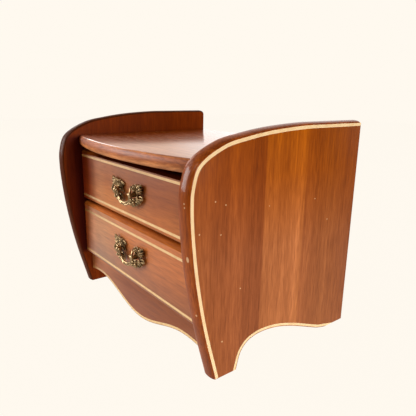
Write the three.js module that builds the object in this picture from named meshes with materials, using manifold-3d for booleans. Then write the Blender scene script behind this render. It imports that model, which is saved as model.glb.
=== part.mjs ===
// Musical jewelry box. Two drawers run between a pair of shaped, bullnosed side panels under a
// bow-fronted top board, and a spring-driven musical movement stands behind the lower drawer.
// Millimetres, +Z up, front towards -Y, origin on the ground under the middle of the box.
import * as THREE from 'three';
import { mergeVertices } from 'three/addons/utils/BufferGeometryUtils.js';
import Module from 'manifold-3d';

const wasm = await Module();
wasm.setup();

// Side panels: each outline is a table of shares of the panel's depth and height.
const boxWidth = 212.6;
const panelThickness = 11.5;
const panelHeight = 170;
const panelDepth = 164.5;
const panelOuterNose = 1.8;
const panelInnerNose = 1.7;
const panelBackCorner = 2.6;
const frontOutlineShares = [
  [0.867, 0], [0.9307, 0.2332], [0.9672, 0.41], [0.9897, 0.5706], [1, 0.7194],
  [0.9951, 0.7926], [0.9623, 0.8765], [0.8407, 0.9453], [0.7149, 0.9712], [0.5799, 0.9882],
  [0.365, 1],
];
const frontFootWidth = 20.1;
const rearFootWidth = 23;
const archRise = 21.6;
const archOutlineShares = [
  [0.04, 0.58], [0.095, 0.85], [0.176, 0.98], [0.276, 1], [0.407, 0.92],
  [0.57, 0.7], [0.75, 0.38], [0.9, 0.11],
];

// Stringing: pale strips let into grooves in the show faces.
const stringWidth = 2.3;
const stringDepth = 1;
const stringInset = 3.1;
const edgeStringWidth = 1.9;
const edgeStringInset = 1.5;
const stringClearance = 0.1;

// Top board.
const boardThickness = 10;
const boardTop = 149;
const boardOverhang = 1.4;
const boardBow = 13;
const boardNose = 3;

// Case: floor, divider, back and apron fit between the side panels.
const glueLine = 0.02;
const floorThickness = 6;
const floorTop = 32.6;
const dividerThickness = 3.5;
const dividerTop = 88;
const backThickness = 4;
const backRecess = 1.5;
const apronThickness = 8;
const apronSetback = 5.3;
const apronFootGap = 1;
const apronDrop = 15;
const apronDropHalfWidth = 72;
const apronEndFall = 2.3;

// Drawers.
const drawerSetback = 18.7;
const drawerFrontThickness = 12;
const drawerFrontGap = 0.5;
const drawerTopRound = 3.2;
const drawerFootRound = 2.3;
const drawerSideGap = 1;
const drawerWall = 6;
const drawerRunGap = 0.3;
const drawerBottomThickness = 3;
const drawerBottomRaise = 3;
const drawerGrooveDepth = 2.5;
const drawerGrooveGap = 0.15;
const liningWall = 1.2;
const liningGap = 0.3;
const drawerSideDrop = 4.3;
const upperDrawerBack = 12;
const movementGap = 6;
const upperFrontEdges = { low: 88.3, high: 135.6, lowString: 92.6, highString: 130.3, pullRise: 23.9 };
const lowerFrontEdges = { low: 33.3, high: 85.5, lowString: 37, highString: 77, pullRise: 28.1 };
const drawerStringWidth = 2;
const rollRegionWidth = 58;
const rollCount = 7;
const rollHeight = 9;
const rollBase = 3;
const partitionThickness = 3;
const partitionHeight = 22;

// Pulls: two cast leaf plates with eyes and a swinging bail between them.
const pullStandoff = 6;
const pullEyeSpread = 13;
const pullEyeRadius = 2.2;
const pullEyeWidth = 3.4;
const pullPinRadius = 0.8;
const pullPinClearance = 0.25;
const pullStudRadius = 1.5;
const pullStudClearance = 0.2;
const pullNutRadius = 3;
const pullNutThickness = 1.6;
const pullNutPocket = 3.4;
const pullNutClearance = 0.5;
const leafRoot = 8;
const leafLength = 16.6;
const leafDepth = 3.2;
const leafNotchShare = 0.16;
// Lobes of a leaf: shares of a quarter turn up from level, and of the leaf's length.
const plateLobeShares = [[0.09, 0.88], [0.33, 1], [0.62, 0.66], [1.05, 0.5]];
const bailLobeShares = [[-0.86, 0.4], [-0.53, 0.52], [-0.26, 0.74], [-0.04, 1], [0.12, 0.97]];
const lobeHalfShare = 0.085;
const scrollRise = 7.6;
const scrollRadius = 1;
const scrollBulge = 2;
const bailLeafRoot = 6.8;
const bailLeafLength = 16.4;
const bailLeafDepth = 2.8;
const bailLeafDrop = 4.4;
const bailWallGap = 0.7;
const bailBarRadius = 1.5;
const bailForward = 3.4;
const bailDrop = 8.6;

// Movement: bedplate, spring drive, pinned cylinder, comb, governor and stop lever.
const bedLength = 57;
const bedWidth = 42;
const bedThickness = 2.4;
const bedLeft = -26;
const bedRear = 8;
const bedCorner = 4;
const boreClearance = 0.2;
const runClearance = 0.1;
const endClearance = 0.3;
const driveAxisX = -14;
const driveInset = 18;
const housingRadius = 10;
const housingHeight = 11;
const housingWall = 0.8;
const springTurns = 3;
const springInner = 2.6;
const springThickness = 0.5;
const windArborRadius = 1.5;
const crownRadius = 9;
const crownFace = 1.4;
const crownTeeth = 36;
const crownThickness = 1.5;
const crownGap = 0.6;
const pinionTeeth = 12;
const toothShare = 0.34;
const toothDepth = 0.8;
const cylinderRadius = 6.5;
const cylinderStart = -3;
const cylinderLength = 19.6;
const cylinderArborRadius = 1;
const pinHeight = 0.6;
const pinWidth = 0.4;
const pinRows = 18;
const pinsPerRow = 3;
const pinStepShare = 0.382;
const combThickness = 0.8;
const combGapShare = 0.3;
const combToothLong = 12;
const combToothShort = 8.5;
const combBackWidth = 5.4;
const bracketThickness = 1.2;
const bracketLeg = 3.5;
const bracketSpan = 25;
const bracketRise = 3.4;
const wheelTeeth = 40;
const wheelModule = 0.35;
const wheelThickness = 1;
const wheelGap = 2.8;
const smallPinionTeeth = 10;
const smallPinionSlack = 0.2;
const trainAngle = 40;
const trainArborRadius = 0.6;
const wormWheelTeeth = 14;
const wormWheelToothShare = 0.24;
const wormModule = 0.45;
const wormWheelThickness = 1;
const wormWheelGap = 1.6;
const wormStarts = 2;
const wormPitchRadius = 1.35;
const wormLength = 4.2;
const wormThreadWidth = 0.34;
const wormTipGap = 0.15;
const flyShaftRadius = 0.6;
const flyHubRadius = 2.2;
const flyHubHeight = 1.4;
const flyHubGap = 0.8;
const flyBladeRadius = 4;
const flyBladeHeight = 6;
const flyBladeThickness = 0.4;
const flyFrameThickness = 1.6;
const flyFrameWidth = 3.2;
const stopPivotX = 28.5;
const stopPivotInset = 24;
const stopPostRadius = 1.6;
const stopPinRadius = 0.9;
const stopArmWidth = 2.2;
const stopThickness = 1.2;
const stopToeX = 44;
const stopElbowX = 28;
const stopElbowInset = 9.4;
const keyHubRadius = 3;
const keyHubHeight = 8;
const keyWingReach = 10;
const keyWingThickness = 2;
const keyWingHeight = 11;
const keyGroundGap = 4.5;

// Overrun of a cutting tool past the face that it cuts.
const overrun = 1;

// Reaches from the plane of the panels' rear edges.
const drawerReach = panelDepth - drawerSetback;
const boardEndReach = drawerReach + boardOverhang;
const apronReach = drawerReach - apronSetback;
const pullEyeReach = drawerReach + pullStandoff;
const archFrontReach = frontOutlineShares[0][0] * panelDepth - frontFootWidth;
const bedFront = bedRear + bedWidth;
const driveAxisReach = bedRear + driveInset;
const stopPivotReach = bedRear + stopPivotInset;
const stopElbowReach = bedRear + stopElbowInset;
const drawerSizes = (edges, back) => ({ ...edges, sideHigh: edges.high - drawerSideDrop, back });
const upperFront = drawerSizes(upperFrontEdges, upperDrawerBack);
const lowerFront = drawerSizes(lowerFrontEdges, bedFront + movementGap);

const innerHalf = boxWidth / 2 - panelThickness;
const woodHalf = innerHalf - glueLine;
const yAt = (reach) => panelDepth / 2 - reach;
const radians = THREE.MathUtils.degToRad;

const finishes = {
  walnut: [0x8f4a23, 0.35, 0],
  walnutFront: [0x9a5430, 0.25, 0],
  string: [0xf0cc8c, 0.4, 0],
  drawerWood: [0xc8a877, 0.6, 0],
  plywood: [0xa98659, 0.75, 0],
  velvet: [0x7a1826, 0.95, 0],
  antiqueBrass: [0x8c6f45, 0.4, 0.9],
  steel: [0xb9bcc0, 0.3, 0.9],
  castZinc: [0x9a9b9c, 0.5, 0.8],
  brass: [0xc9a04e, 0.3, 0.9],
  whiteNylon: [0xe8e4d8, 0.5, 0],
};

function piece(name, finish, geometry) {
  const [color, roughness, metalness] = finishes[finish];
  const mesh = new THREE.Mesh(geometry, new THREE.MeshStandardMaterial({ color, roughness, metalness }));
  mesh.name = name;
  return mesh;
}

// Booleans on closed meshes.
function toSolid(geometry) {
  const bare = geometry.clone();
  bare.deleteAttribute('normal');
  bare.deleteAttribute('uv');
  const merged = mergeVertices(bare);
  return new wasm.Manifold(new wasm.Mesh({
    numProp: 3,
    vertProperties: new Float32Array(merged.attributes.position.array),
    triVerts: new Uint32Array(merged.index.array),
  }));
}

function toGeometry(solid) {
  const mesh = solid.getMesh();
  const geometry = new THREE.BufferGeometry();
  geometry.setAttribute('position', new THREE.BufferAttribute(new Float32Array(mesh.vertProperties), 3));
  geometry.setIndex(new THREE.BufferAttribute(new Uint32Array(mesh.triVerts), 1));
  geometry.computeVertexNormals();
  return geometry;
}

function cut(geometry, ...tools) {
  return toGeometry(tools.reduce((solid, tool) => solid.subtract(toSolid(tool)), toSolid(geometry)));
}

function join(geometry, ...others) {
  return toGeometry(others.reduce((solid, other) => solid.add(toSolid(other)), toSolid(geometry)));
}

// Curve divisions of a round hole.
const roundSteps = 6;

// Plain solids between two corners, and flat outlines carried along one axis.
function block(low, high) {
  const size = new THREE.Vector3().subVectors(high, low);
  const geometry = new THREE.BoxGeometry(size.x, size.y, size.z);
  const centre = new THREE.Vector3().addVectors(low, high).multiplyScalar(0.5);
  return geometry.translate(centre.x, centre.y, centre.z);
}

function slab(x, reach, z) {
  return block(
    new THREE.Vector3(x[0], yAt(reach[1]), z[0]),
    new THREE.Vector3(x[1], yAt(reach[0]), z[1]),
  );
}

const alongX = new THREE.Matrix4().set(0, 0, 1, 0, 1, 0, 0, 0, 0, 1, 0, 0, 0, 0, 0, 1);
const alongY = new THREE.Matrix4().set(1, 0, 0, 0, 0, 0, -1, 0, 0, 1, 0, 0, 0, 0, 0, 1);

function extrudeX(shape, from, to, curveSegments = 4) {
  const geometry = new THREE.ExtrudeGeometry(shape, { depth: to - from, bevelEnabled: false, curveSegments });
  return geometry.applyMatrix4(alongX).translate(from, 0, 0);
}

function extrudeY(shape, from, to, curveSegments = 4) {
  const geometry = new THREE.ExtrudeGeometry(shape, { depth: to - from, bevelEnabled: false, curveSegments });
  return geometry.applyMatrix4(alongY).translate(0, to, 0);
}

function extrudeZ(shape, from, to, curveSegments = 4) {
  const geometry = new THREE.ExtrudeGeometry(shape, { depth: to - from, bevelEnabled: false, curveSegments });
  return geometry.translate(0, 0, from);
}

const outlineShape = (points) => new THREE.Shape(points.map(([a, b]) => new THREE.Vector2(a, b)));

function roundHole(shape, x, y, radius) {
  shape.holes.push(new THREE.Path().absarc(x, y, radius, 0, Math.PI * 2, true));
  return shape;
}

// A turned piece: its profile is a list of radius and height, closed on itself or on the axis.
function turned(profile, segments) {
  const points = profile.map(([r, h]) => new THREE.Vector2(r, h));
  return new THREE.LatheGeometry(points, segments).rotateX(Math.PI / 2);
}

const tube = (inner, outer, low, high) => [
  [inner, low], [outer, low], [outer, high], [inner, high], [inner, low],
];

const rod = (radius, low, high) => [[0, low], [radius, low], [radius, high], [0, high]];

// A rod whose axis lies along X at a given reach and height.
function rodX(radius, from, to, reach, height, segments = 10) {
  const geometry = new THREE.CylinderGeometry(radius, radius, to - from, segments).rotateZ(Math.PI / 2);
  return geometry.translate((from + to) / 2, yAt(reach), height);
}

function rodY(radius, from, to, x, height, segments = 10) {
  return new THREE.CylinderGeometry(radius, radius, to - from, segments)
    .translate(x, yAt((from + to) / 2), height);
}

// A skin over rings with the same number of points, closed by a flat cap at each end.
function capFaces(ring) {
  const normal = new THREE.Vector3();
  ring.forEach((p, i) => {
    const q = ring[(i + 1) % ring.length];
    normal.x += (p.y - q.y) * (p.z + q.z);
    normal.y += (p.z - q.z) * (p.x + q.x);
    normal.z += (p.x - q.x) * (p.y + q.y);
  });
  const axes = ['x', 'y', 'z'].sort((a, b) => Math.abs(normal[b]) - Math.abs(normal[a]));
  const pair = { x: ['y', 'z'], y: ['z', 'x'], z: ['x', 'y'] }[axes[0]];
  const [first, second] = normal[axes[0]] > 0 ? pair : [pair[1], pair[0]];
  const flat = ring.map((p) => new THREE.Vector2(p[first], p[second]));
  return THREE.ShapeUtils.triangulateShape(flat, []).map(([a, b, c]) => {
    const turn = (flat[b].x - flat[a].x) * (flat[c].y - flat[a].y)
      - (flat[b].y - flat[a].y) * (flat[c].x - flat[a].x);
    return turn > 0 ? [a, b, c] : [a, c, b];
  });
}

function loft(rings) {
  const count = rings[0].length;
  const points = rings.flat();
  const faces = [];
  rings.slice(1).forEach((ring, level) => ring.forEach((point, i) => {
    const a = level * count + i;
    const b = level * count + (i + 1) % count;
    faces.push([a, b, b + count], [a, b + count, a + count]);
  }));
  const last = points.length - count;
  capFaces(rings[0]).forEach(([a, b, c]) => faces.push([a, c, b]));
  capFaces(rings[rings.length - 1]).forEach((face) => faces.push(face.map((i) => i + last)));
  const volume = faces.reduce((sum, [a, b, c]) => (
    sum + points[a].dot(new THREE.Vector3().crossVectors(points[b], points[c]))), 0);
  const outward = volume > 0 ? faces : faces.map(([a, b, c]) => [a, c, b]);
  const geometry = new THREE.BufferGeometry().setFromPoints(points);
  geometry.setIndex(outward.flat());
  geometry.computeVertexNormals();
  return geometry;
}

// Directions in which the points of an open outline move as it shrinks. The ends slide along
// the straight edges that meet them there.
function shrinkDirections(points, startAlong, endAlong) {
  return points.map((point, i) => {
    const before = points[Math.max(i - 1, 0)];
    const after = points[Math.min(i + 1, points.length - 1)];
    const tangent = new THREE.Vector2().subVectors(after, before).normalize();
    const inward = new THREE.Vector2(-tangent.y, tangent.x);
    const along = i === 0 ? startAlong : i === points.length - 1 ? endAlong : inward;
    return along.clone().multiplyScalar(1 / along.dot(inward));
  });
}

const shrunk = (points, directions, distance) => points.map((p, i) => (
  p.clone().addScaledVector(directions[i], distance)));

// A board whose moulded edge is an elliptical nose: the outline falls back towards both faces.
const noseSteps = 6;
function nosedRings(nosed, directions, rest, thickness, firstNose, lastNose, place) {
  return Array.from({ length: noseSteps + 1 }, (_, step) => {
    const angle = Math.PI * (step / noseSteps - 1 / 2);
    const nose = angle < 0 ? firstNose : lastNose;
    const edge = shrunk(nosed, directions, nose * (1 - Math.cos(angle)));
    const depth = thickness / 2 * (1 + Math.sin(angle));
    return [...edge, ...rest].map((p) => place(p, depth));
  });
}

// Side panel outlines, in reach from the back and height.
const smooth = (points, steps) => new THREE.CatmullRomCurve3(
  points.map(([a, b]) => new THREE.Vector3(a, b, 0)), false, 'centripetal',
).getPoints(steps * (points.length - 1)).map((p) => new THREE.Vector2(p.x, p.y));

const frontCurve = smooth([
  ...frontOutlineShares.map(([a, b]) => [a * panelDepth, b * panelHeight]),
  [panelBackCorner, panelHeight],
], 3).map((p) => new THREE.Vector2(p.x, Math.min(p.y, panelHeight)));
const frontShrink = shrinkDirections(frontCurve, new THREE.Vector2(-1, 0), new THREE.Vector2(0, -1));

const archSpan = archFrontReach - rearFootWidth;
const archCurve = smooth([
  [rearFootWidth, 0],
  ...archOutlineShares.map(([a, b]) => [archFrontReach - a * archSpan, b * archRise]).reverse(),
  [archFrontReach, 0],
], 2);
const archShrink = shrinkDirections(archCurve, new THREE.Vector2(-1, 0), new THREE.Vector2(1, 0));

// A strip that follows a curve between two distances from it, carried past its ends.
function stripPoints(curve, directions, near, far, before, after) {
  const edge = (distance) => {
    const line = shrunk(curve, directions, distance);
    return [...before(line[0]), ...line, ...after(line.at(-1))];
  };
  return [...edge(near), ...edge(far).reverse()];
}

const yzShape = (points) => outlineShape(points.map((p) => [yAt(p.x), p.y]));

function panelStrings() {
  const half = stringWidth / 2;
  const edgeHalf = edgeStringWidth / 2;
  const grooveHalf = half + stringClearance;
  const edgeGrooveHalf = edgeHalf + stringClearance;
  const none = () => [];
  const below = (p) => [new THREE.Vector2(p.x, -overrun)];
  const back = (reach) => (p) => [new THREE.Vector2(reach, p.y)];
  return {
    front: yzShape(stripPoints(frontCurve, frontShrink, stringInset - half, stringInset + half,
      none, back(stringClearance))),
    frontGroove: yzShape(stripPoints(frontCurve, frontShrink, stringInset - grooveHalf,
      stringInset + grooveHalf, below, back(-overrun))),
    arch: yzShape(stripPoints(archCurve, archShrink, edgeStringInset - edgeHalf,
      edgeStringInset + edgeHalf, none, none)),
    archGroove: yzShape(stripPoints(archCurve, archShrink, edgeStringInset - edgeGrooveHalf,
      edgeStringInset + edgeGrooveHalf, below, below)),
  };
}

function sidePanel(name, side) {
  const outer = side * boxWidth / 2;
  const cornerSteps = 3;
  const corner = Array.from({ length: cornerSteps }, (_, i) => {
    const angle = Math.PI / 2 * ((i + 1) / cornerSteps + 1);
    return new THREE.Vector2(Math.cos(angle), Math.sin(angle))
      .multiplyScalar(panelBackCorner)
      .add(new THREE.Vector2(panelBackCorner, panelHeight - panelBackCorner));
  });
  const nosed = [...frontCurve, ...corner];
  const directions = [...frontShrink, ...corner.map(() => new THREE.Vector2(0, -1))];
  const rest = [new THREE.Vector2(0, 0), ...archCurve];
  const place = (p, depth) => new THREE.Vector3(outer - side * depth, yAt(p.x), p.y);
  const body = loft(nosedRings(nosed, directions, rest, panelThickness,
    panelOuterNose, panelInnerNose, place));
  const strings = panelStrings();
  const floorX = outer - side * stringDepth;
  const range = (from, to) => [Math.min(from, to), Math.max(from, to)];
  const grooveX = range(floorX, outer + side * overrun);
  const stringX = range(floorX + side * glueLine, outer);
  return [
    piece(name, 'walnut', cut(body, extrudeX(strings.frontGroove, ...grooveX),
      extrudeX(strings.archGroove, ...grooveX))),
    piece(`${name}_string`, 'string', extrudeX(strings.front, ...stringX)),
    piece(`${name}_arch_string`, 'string', extrudeX(strings.arch, ...stringX)),
  ];
}

// Top board: its front edge is an arc in plan.
function topBoard() {
  const half = woodHalf;
  const radius = (half * half + boardBow * boardBow) / (2 * boardBow);
  const centre = boardEndReach + boardBow - radius;
  const sweep = Math.asin(half / radius);
  const steps = 20;
  const nosed = Array.from({ length: steps + 1 }, (_, i) => {
    const angle = sweep * (2 * i / steps - 1);
    return new THREE.Vector2(radius * Math.sin(angle), -(centre + radius * Math.cos(angle)));
  });
  const directions = shrinkDirections(nosed, new THREE.Vector2(0, 1), new THREE.Vector2(0, 1));
  const rest = [new THREE.Vector2(half, 0), new THREE.Vector2(-half, 0)];
  const place = (p, depth) => new THREE.Vector3(p.x, yAt(-p.y), boardTop - boardThickness + depth);
  return piece('top_board', 'walnut',
    loft(nosedRings(nosed, directions, rest, boardThickness, boardNose, boardNose, place)));
}

// Apron: a straight rail whose lower edge is a pair of cyma curves round a central drop.
const floorLow = floorTop - floorThickness;
function apronEdge(x) {
  const across = Math.abs(x);
  const crest = apronFootGap + apronDrop;
  if (across < apronDropHalfWidth) {
    return crest - apronDrop * (1 + Math.cos(Math.PI * across / apronDropHalfWidth)) / 2;
  }
  const beyond = (across - apronDropHalfWidth) / (innerHalf - apronDropHalfWidth);
  return crest - apronEndFall * beyond * beyond;
}

function apronPieces() {
  const steps = 28;
  const curve = Array.from({ length: steps + 1 }, (_, i) => {
    const x = woodHalf * (2 * i / steps - 1);
    return new THREE.Vector2(x, apronEdge(x));
  });
  const directions = shrinkDirections(curve, new THREE.Vector2(0, 1), new THREE.Vector2(0, 1));
  const half = edgeStringWidth / 2;
  const strip = (reachHalf, before, after) => outlineShape(stripPoints(curve, directions,
    edgeStringInset - reachHalf, edgeStringInset + reachHalf, before, after).map((p) => [p.x, p.y]));
  const past = (side) => (p) => [new THREE.Vector2(side * (woodHalf + overrun), p.y)];
  const none = () => [];
  const rail = outlineShape([...curve.map((p) => [p.x, p.y]), [woodHalf, floorTop], [-woodHalf, floorTop]]);
  const front = yAt(apronReach);
  const groove = extrudeY(strip(half + stringClearance, past(-1), past(1)),
    front - overrun, front + stringDepth);
  return [
    piece('apron', 'walnutFront', cut(extrudeY(rail, front, front + apronThickness), groove)),
    piece('apron_string', 'string', extrudeY(strip(half, none, none),
      front, front + stringDepth - glueLine)),
  ];
}

// Case boards between the side panels.
const frameBack = backRecess + backThickness + glueLine;
const bedLow = floorTop + glueLine;
const bedTop = bedLow + bedThickness;

function caseBoards() {
  const boardLow = boardTop - boardThickness;
  const floorShape = outlineShape([
    [-woodHalf, yAt(apronReach - apronThickness - glueLine)],
    [woodHalf, yAt(apronReach - apronThickness - glueLine)],
    [woodHalf, yAt(frameBack)], [-woodHalf, yAt(frameBack)],
  ]);
  roundHole(floorShape, driveAxisX, yAt(driveAxisReach), keyHubRadius);
  const dividerFront = drawerReach - drawerFrontThickness - drawerFrontGap;
  return [
    piece('case_floor', 'plywood', extrudeZ(floorShape, floorLow, floorTop, roundSteps)),
    piece('drawer_divider', 'plywood',
      slab([-woodHalf, woodHalf], [frameBack, dividerFront], [dividerTop - dividerThickness, dividerTop])),
    piece('back_panel', 'plywood',
      slab([-woodHalf, woodHalf], [backRecess, backRecess + backThickness], [floorLow, boardLow - glueLine])),
  ];
}

// Drawer front: rounded top and bottom, grooved for its two strings, bored for the pull.
function drawerFront(name, front) {
  const pullHeight = front.low + front.pullRise;
  const face = yAt(drawerReach);
  const back = face + drawerFrontThickness;
  const shape = new THREE.Shape();
  shape.moveTo(back, front.low);
  shape.lineTo(face + drawerFootRound, front.low);
  shape.absarc(face + drawerFootRound, front.low + drawerFootRound, drawerFootRound,
    -Math.PI / 2, -Math.PI, true);
  [front.lowString, front.highString].forEach((centre) => {
    const half = drawerStringWidth / 2 + stringClearance;
    shape.lineTo(face, centre - half);
    shape.lineTo(face + stringDepth, centre - half);
    shape.lineTo(face + stringDepth, centre + half);
    shape.lineTo(face, centre + half);
  });
  shape.absarc(face + drawerTopRound, front.high - drawerTopRound, drawerTopRound,
    Math.PI, Math.PI / 2, true);
  shape.lineTo(back, front.high);
  const frontHalf = innerHalf - drawerFrontGap;
  const tools = [-1, 1].flatMap((side) => [
    rodY(pullStudRadius + pullStudClearance, drawerReach - drawerFrontThickness - overrun,
      drawerReach + overrun, side * pullEyeSpread, pullHeight, 8),
    rodY(pullNutRadius + pullNutClearance, drawerReach - drawerFrontThickness - overrun,
      drawerReach - drawerFrontThickness + pullNutPocket, side * pullEyeSpread, pullHeight, 8),
  ]);
  const strings = [['high', front.highString], ['low', front.lowString]].map(([place, centre]) => (
    piece(`${name}_${place}_string`, 'string', slab(
      [-frontHalf, frontHalf],
      [drawerReach - stringDepth + glueLine, drawerReach],
      [centre - drawerStringWidth / 2, centre + drawerStringWidth / 2],
    ))));
  return [
    piece(`${name}_front`, 'walnutFront', cut(extrudeX(shape, -frontHalf, frontHalf), ...tools)),
    ...strings,
  ];
}

// Drawer box: grooved sides, a back between them, and a bottom panel let into the grooves.
function drawerBox(name, front, bottomOfSides) {
  const boxFront = drawerReach - drawerFrontThickness - glueLine;
  const outer = innerHalf - drawerSideGap;
  const inner = outer - drawerWall;
  const bottomLow = bottomOfSides + drawerBottomRaise;
  const bottomHigh = bottomLow + drawerBottomThickness;
  const sideShape = (side) => outlineShape([
    [outer, bottomOfSides], [outer, front.sideHigh], [inner, front.sideHigh],
    [inner, bottomHigh + drawerGrooveGap], [inner + drawerGrooveDepth, bottomHigh + drawerGrooveGap],
    [inner + drawerGrooveDepth, bottomLow - drawerGrooveGap], [inner, bottomLow - drawerGrooveGap],
    [inner, bottomOfSides],
  ].map(([x, z]) => [side * x, z]));
  const bottomHalf = inner + drawerGrooveDepth - drawerGrooveGap;
  const sides = [['left', -1], ['right', 1]].map(([place, side]) => piece(
    `${name}_side_${place}`, 'drawerWood', extrudeY(sideShape(side), yAt(boxFront), yAt(front.back))));
  return [
    ...sides,
    piece(`${name}_back`, 'drawerWood', slab([-inner + glueLine, inner - glueLine],
      [front.back, front.back + drawerWall], [bottomHigh + drawerGrooveGap, front.sideHigh])),
    piece(`${name}_bottom`, 'plywood',
      slab([-bottomHalf, bottomHalf], [front.back, boxFront], [bottomLow, bottomHigh])),
    piece(`${name}_lining`, 'velvet', liningTray(front, inner, bottomHigh)),
  ];
}

// Lining: one velvet-covered tray with four thin walls.
function liningTray(front, inner, bottomHigh) {
  const boxFront = drawerReach - drawerFrontThickness - glueLine;
  const half = inner - liningGap;
  const reach = [front.back + drawerWall + liningGap, boxFront - liningGap];
  const low = bottomHigh + liningGap;
  const tray = slab([-half, half], reach, [low, front.sideHigh - liningWall]);
  const hollow = slab([liningWall - half, half - liningWall],
    [reach[0] + liningWall, reach[1] - liningWall], [low + liningWall, front.sideHigh + overrun]);
  return cut(tray, hollow);
}

// Ring rolls in the left end of the upper drawer, closed off by a velvet-covered partition.
const rollLift = upperFront.low + drawerBottomRaise + drawerBottomThickness + liningWall + 2 * liningGap;
const rollLeft = drawerSideGap + drawerWall + liningWall + 2 * liningGap - innerHalf;
function ringRolls() {
  const start = upperFront.back + drawerWall + liningWall + 2 * liningGap;
  const end = drawerReach - drawerFrontThickness - liningWall - 2 * liningGap - glueLine;
  const pitch = (end - start) / rollCount;
  const steps = 7;
  const crown = Array.from({ length: rollCount * steps + 1 }, (_, i) => {
    const within = (i % steps) / steps;
    const rise = Math.sqrt(Math.max(0, 1 - (2 * within - 1) ** 2)) * rollHeight;
    return [yAt(start + pitch * i / steps), rollLift + rollBase + rise];
  });
  const profile = [...crown, [yAt(end), rollLift], [yAt(start), rollLift]];
  return [
    piece('ring_rolls', 'velvet',
      extrudeX(outlineShape(profile), rollLeft, rollLeft + rollRegionWidth)),
    piece('upper_drawer_partition', 'velvet', slab(
      [rollLeft + rollRegionWidth + liningGap, rollLeft + rollRegionWidth + liningGap + partitionThickness],
      [start, end], [rollLift, rollLift + partitionHeight])),
  ];
}

// A fan of rounded leaf lobes that grows from a root point, in x and height.
function leafOutline(rootX, rootZ, length, lobeShares) {
  const at = (turn, radius) => {
    const angle = Math.PI / 2 * turn;
    return new THREE.Vector2(rootX + radius * Math.cos(angle), rootZ + radius * Math.sin(angle));
  };
  const rim = lobeShares.flatMap(([turn, share], i) => {
    const radius = length * share;
    const tip = [-1, 0, 1].map((step) => at(turn + step * lobeHalfShare,
      radius * (1 - Math.abs(step) * leafNotchShare / 2)));
    const next = lobeShares[i + 1];
    return next
      ? [...tip, at((turn + next[0]) / 2, length * (share + next[1]) / 2 * (1 - leafNotchShare))] : tip;
  });
  return [new THREE.Vector2(rootX, rootZ), ...rim];
}

function leaf(side, outline, wallReach, depth) {
  const middle = outline.reduce((sum, p) => sum.add(p), new THREE.Vector2()).divideScalar(outline.length);
  const levels = [[0, 0.94], [0.45, 1], [1, 0.66]];
  return loft(levels.map(([rise, spread]) => outline.map((p) => new THREE.Vector3(
    side * (middle.x + (p.x - middle.x) * spread),
    yAt(wallReach + depth * rise),
    middle.y + (p.y - middle.y) * spread,
  ))));
}

// A round bar swept through points given as x, reach and height.
function sweptRod(points, radius, steps, curveSegments) {
  const path = new THREE.CatmullRomCurve3(
    points.map(([x, reach, z]) => new THREE.Vector3(x, yAt(reach), z)), false, 'centripetal');
  const section = new THREE.Shape().absarc(0, 0, radius, 0, Math.PI * 2, false);
  return new THREE.ExtrudeGeometry(section, { extrudePath: path, steps, curveSegments });
}

// Cast plate of a pull: leaf with a scroll along its root, eye for the bail's pin, and threaded stud
// through the drawer front.
function pullPlate(name, side, height) {
  const face = drawerReach + glueLine;
  const fan = leaf(side, leafOutline(leafRoot, height, leafLength, plateLobeShares), face, leafDepth);
  const scroll = sweptRod([
    [leafRoot - scrollRadius, leafDepth / 2, scrollRise],
    [leafRoot + scrollBulge, leafDepth - scrollRadius / 2, scrollRise / 2],
    [leafRoot + scrollBulge + scrollRadius, leafDepth / 2, 0],
  ].map(([x, rise, z]) => [side * x, face + rise, height + z]), scrollRadius, 6, 3);
  const boss = rodY(pullEyeRadius, face, pullEyeReach, side * pullEyeSpread, height, 10);
  const half = pullEyeWidth / 2;
  const centre = side * pullEyeSpread;
  const eye = rodX(pullEyeRadius, centre - half, centre + half, pullEyeReach, height, 10);
  const studEnd = drawerReach - drawerFrontThickness + pullStudClearance;
  const stud = rodY(pullStudRadius, studEnd, face + overrun, centre, height, 8);
  const bore = rodX(pullPinRadius + pullPinClearance, centre - half - overrun, centre + half + overrun,
    pullEyeReach, height, 8);
  return piece(name, 'antiqueBrass', cut(join(fan, scroll, boss, eye, stud), bore));
}

// Bail: a bowed bar whose ends open into hanging leaves, with arms that carry the pivot pins.
function bail(name, height) {
  const wall = drawerReach + bailWallGap;
  const leafTop = height - bailLeafDrop;
  const leaves = [-1, 1].map((side) => leaf(side,
    leafOutline(bailLeafRoot, leafTop, bailLeafLength, bailLobeShares), wall, bailLeafDepth));
  const barReach = pullEyeReach + bailForward;
  const armX = pullEyeSpread - pullEyeWidth / 2 - pullPinClearance - bailBarRadius;
  const bar = sweptRod([
    [-armX, pullEyeReach, height], [-armX, wall + bailLeafDepth, leafTop],
    [-armX * 0.6, barReach - bailBarRadius, height - bailDrop * 0.85],
    [0, barReach, height - bailDrop],
    [armX * 0.6, barReach - bailBarRadius, height - bailDrop * 0.85],
    [armX, wall + bailLeafDepth, leafTop], [armX, pullEyeReach, height],
  ], bailBarRadius, 18, 4);
  const pinEnd = pullEyeSpread + pullEyeWidth / 2;
  const pins = [[-pinEnd, -armX], [armX, pinEnd]].map(([from, to]) => (
    rodX(pullPinRadius, from, to, pullEyeReach, height, 8)));
  const knuckles = [-1, 1].map((side) => new THREE.SphereGeometry(bailBarRadius * 1.1, 8, 6)
    .translate(side * armX, yAt(pullEyeReach), height));
  return piece(name, 'antiqueBrass', join(bar, ...leaves, ...pins, ...knuckles));
}

function pullNuts(name, height) {
  const low = drawerReach - drawerFrontThickness + pullNutPocket - pullNutThickness - glueLine;
  const hexagon = (x) => outlineShape(Array.from({ length: 6 }, (_, i) => [
    x + pullNutRadius * Math.cos(Math.PI * i / 3), height + pullNutRadius * Math.sin(Math.PI * i / 3)]));
  return [['left', -pullEyeSpread], ['right', pullEyeSpread]].map(([place, x]) => piece(
    `${name}_${place}`, 'brass', extrudeY(roundHole(hexagon(x), x, height, pullStudRadius + runClearance),
      yAt(low + pullNutThickness), yAt(low), roundSteps)));
}

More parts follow.
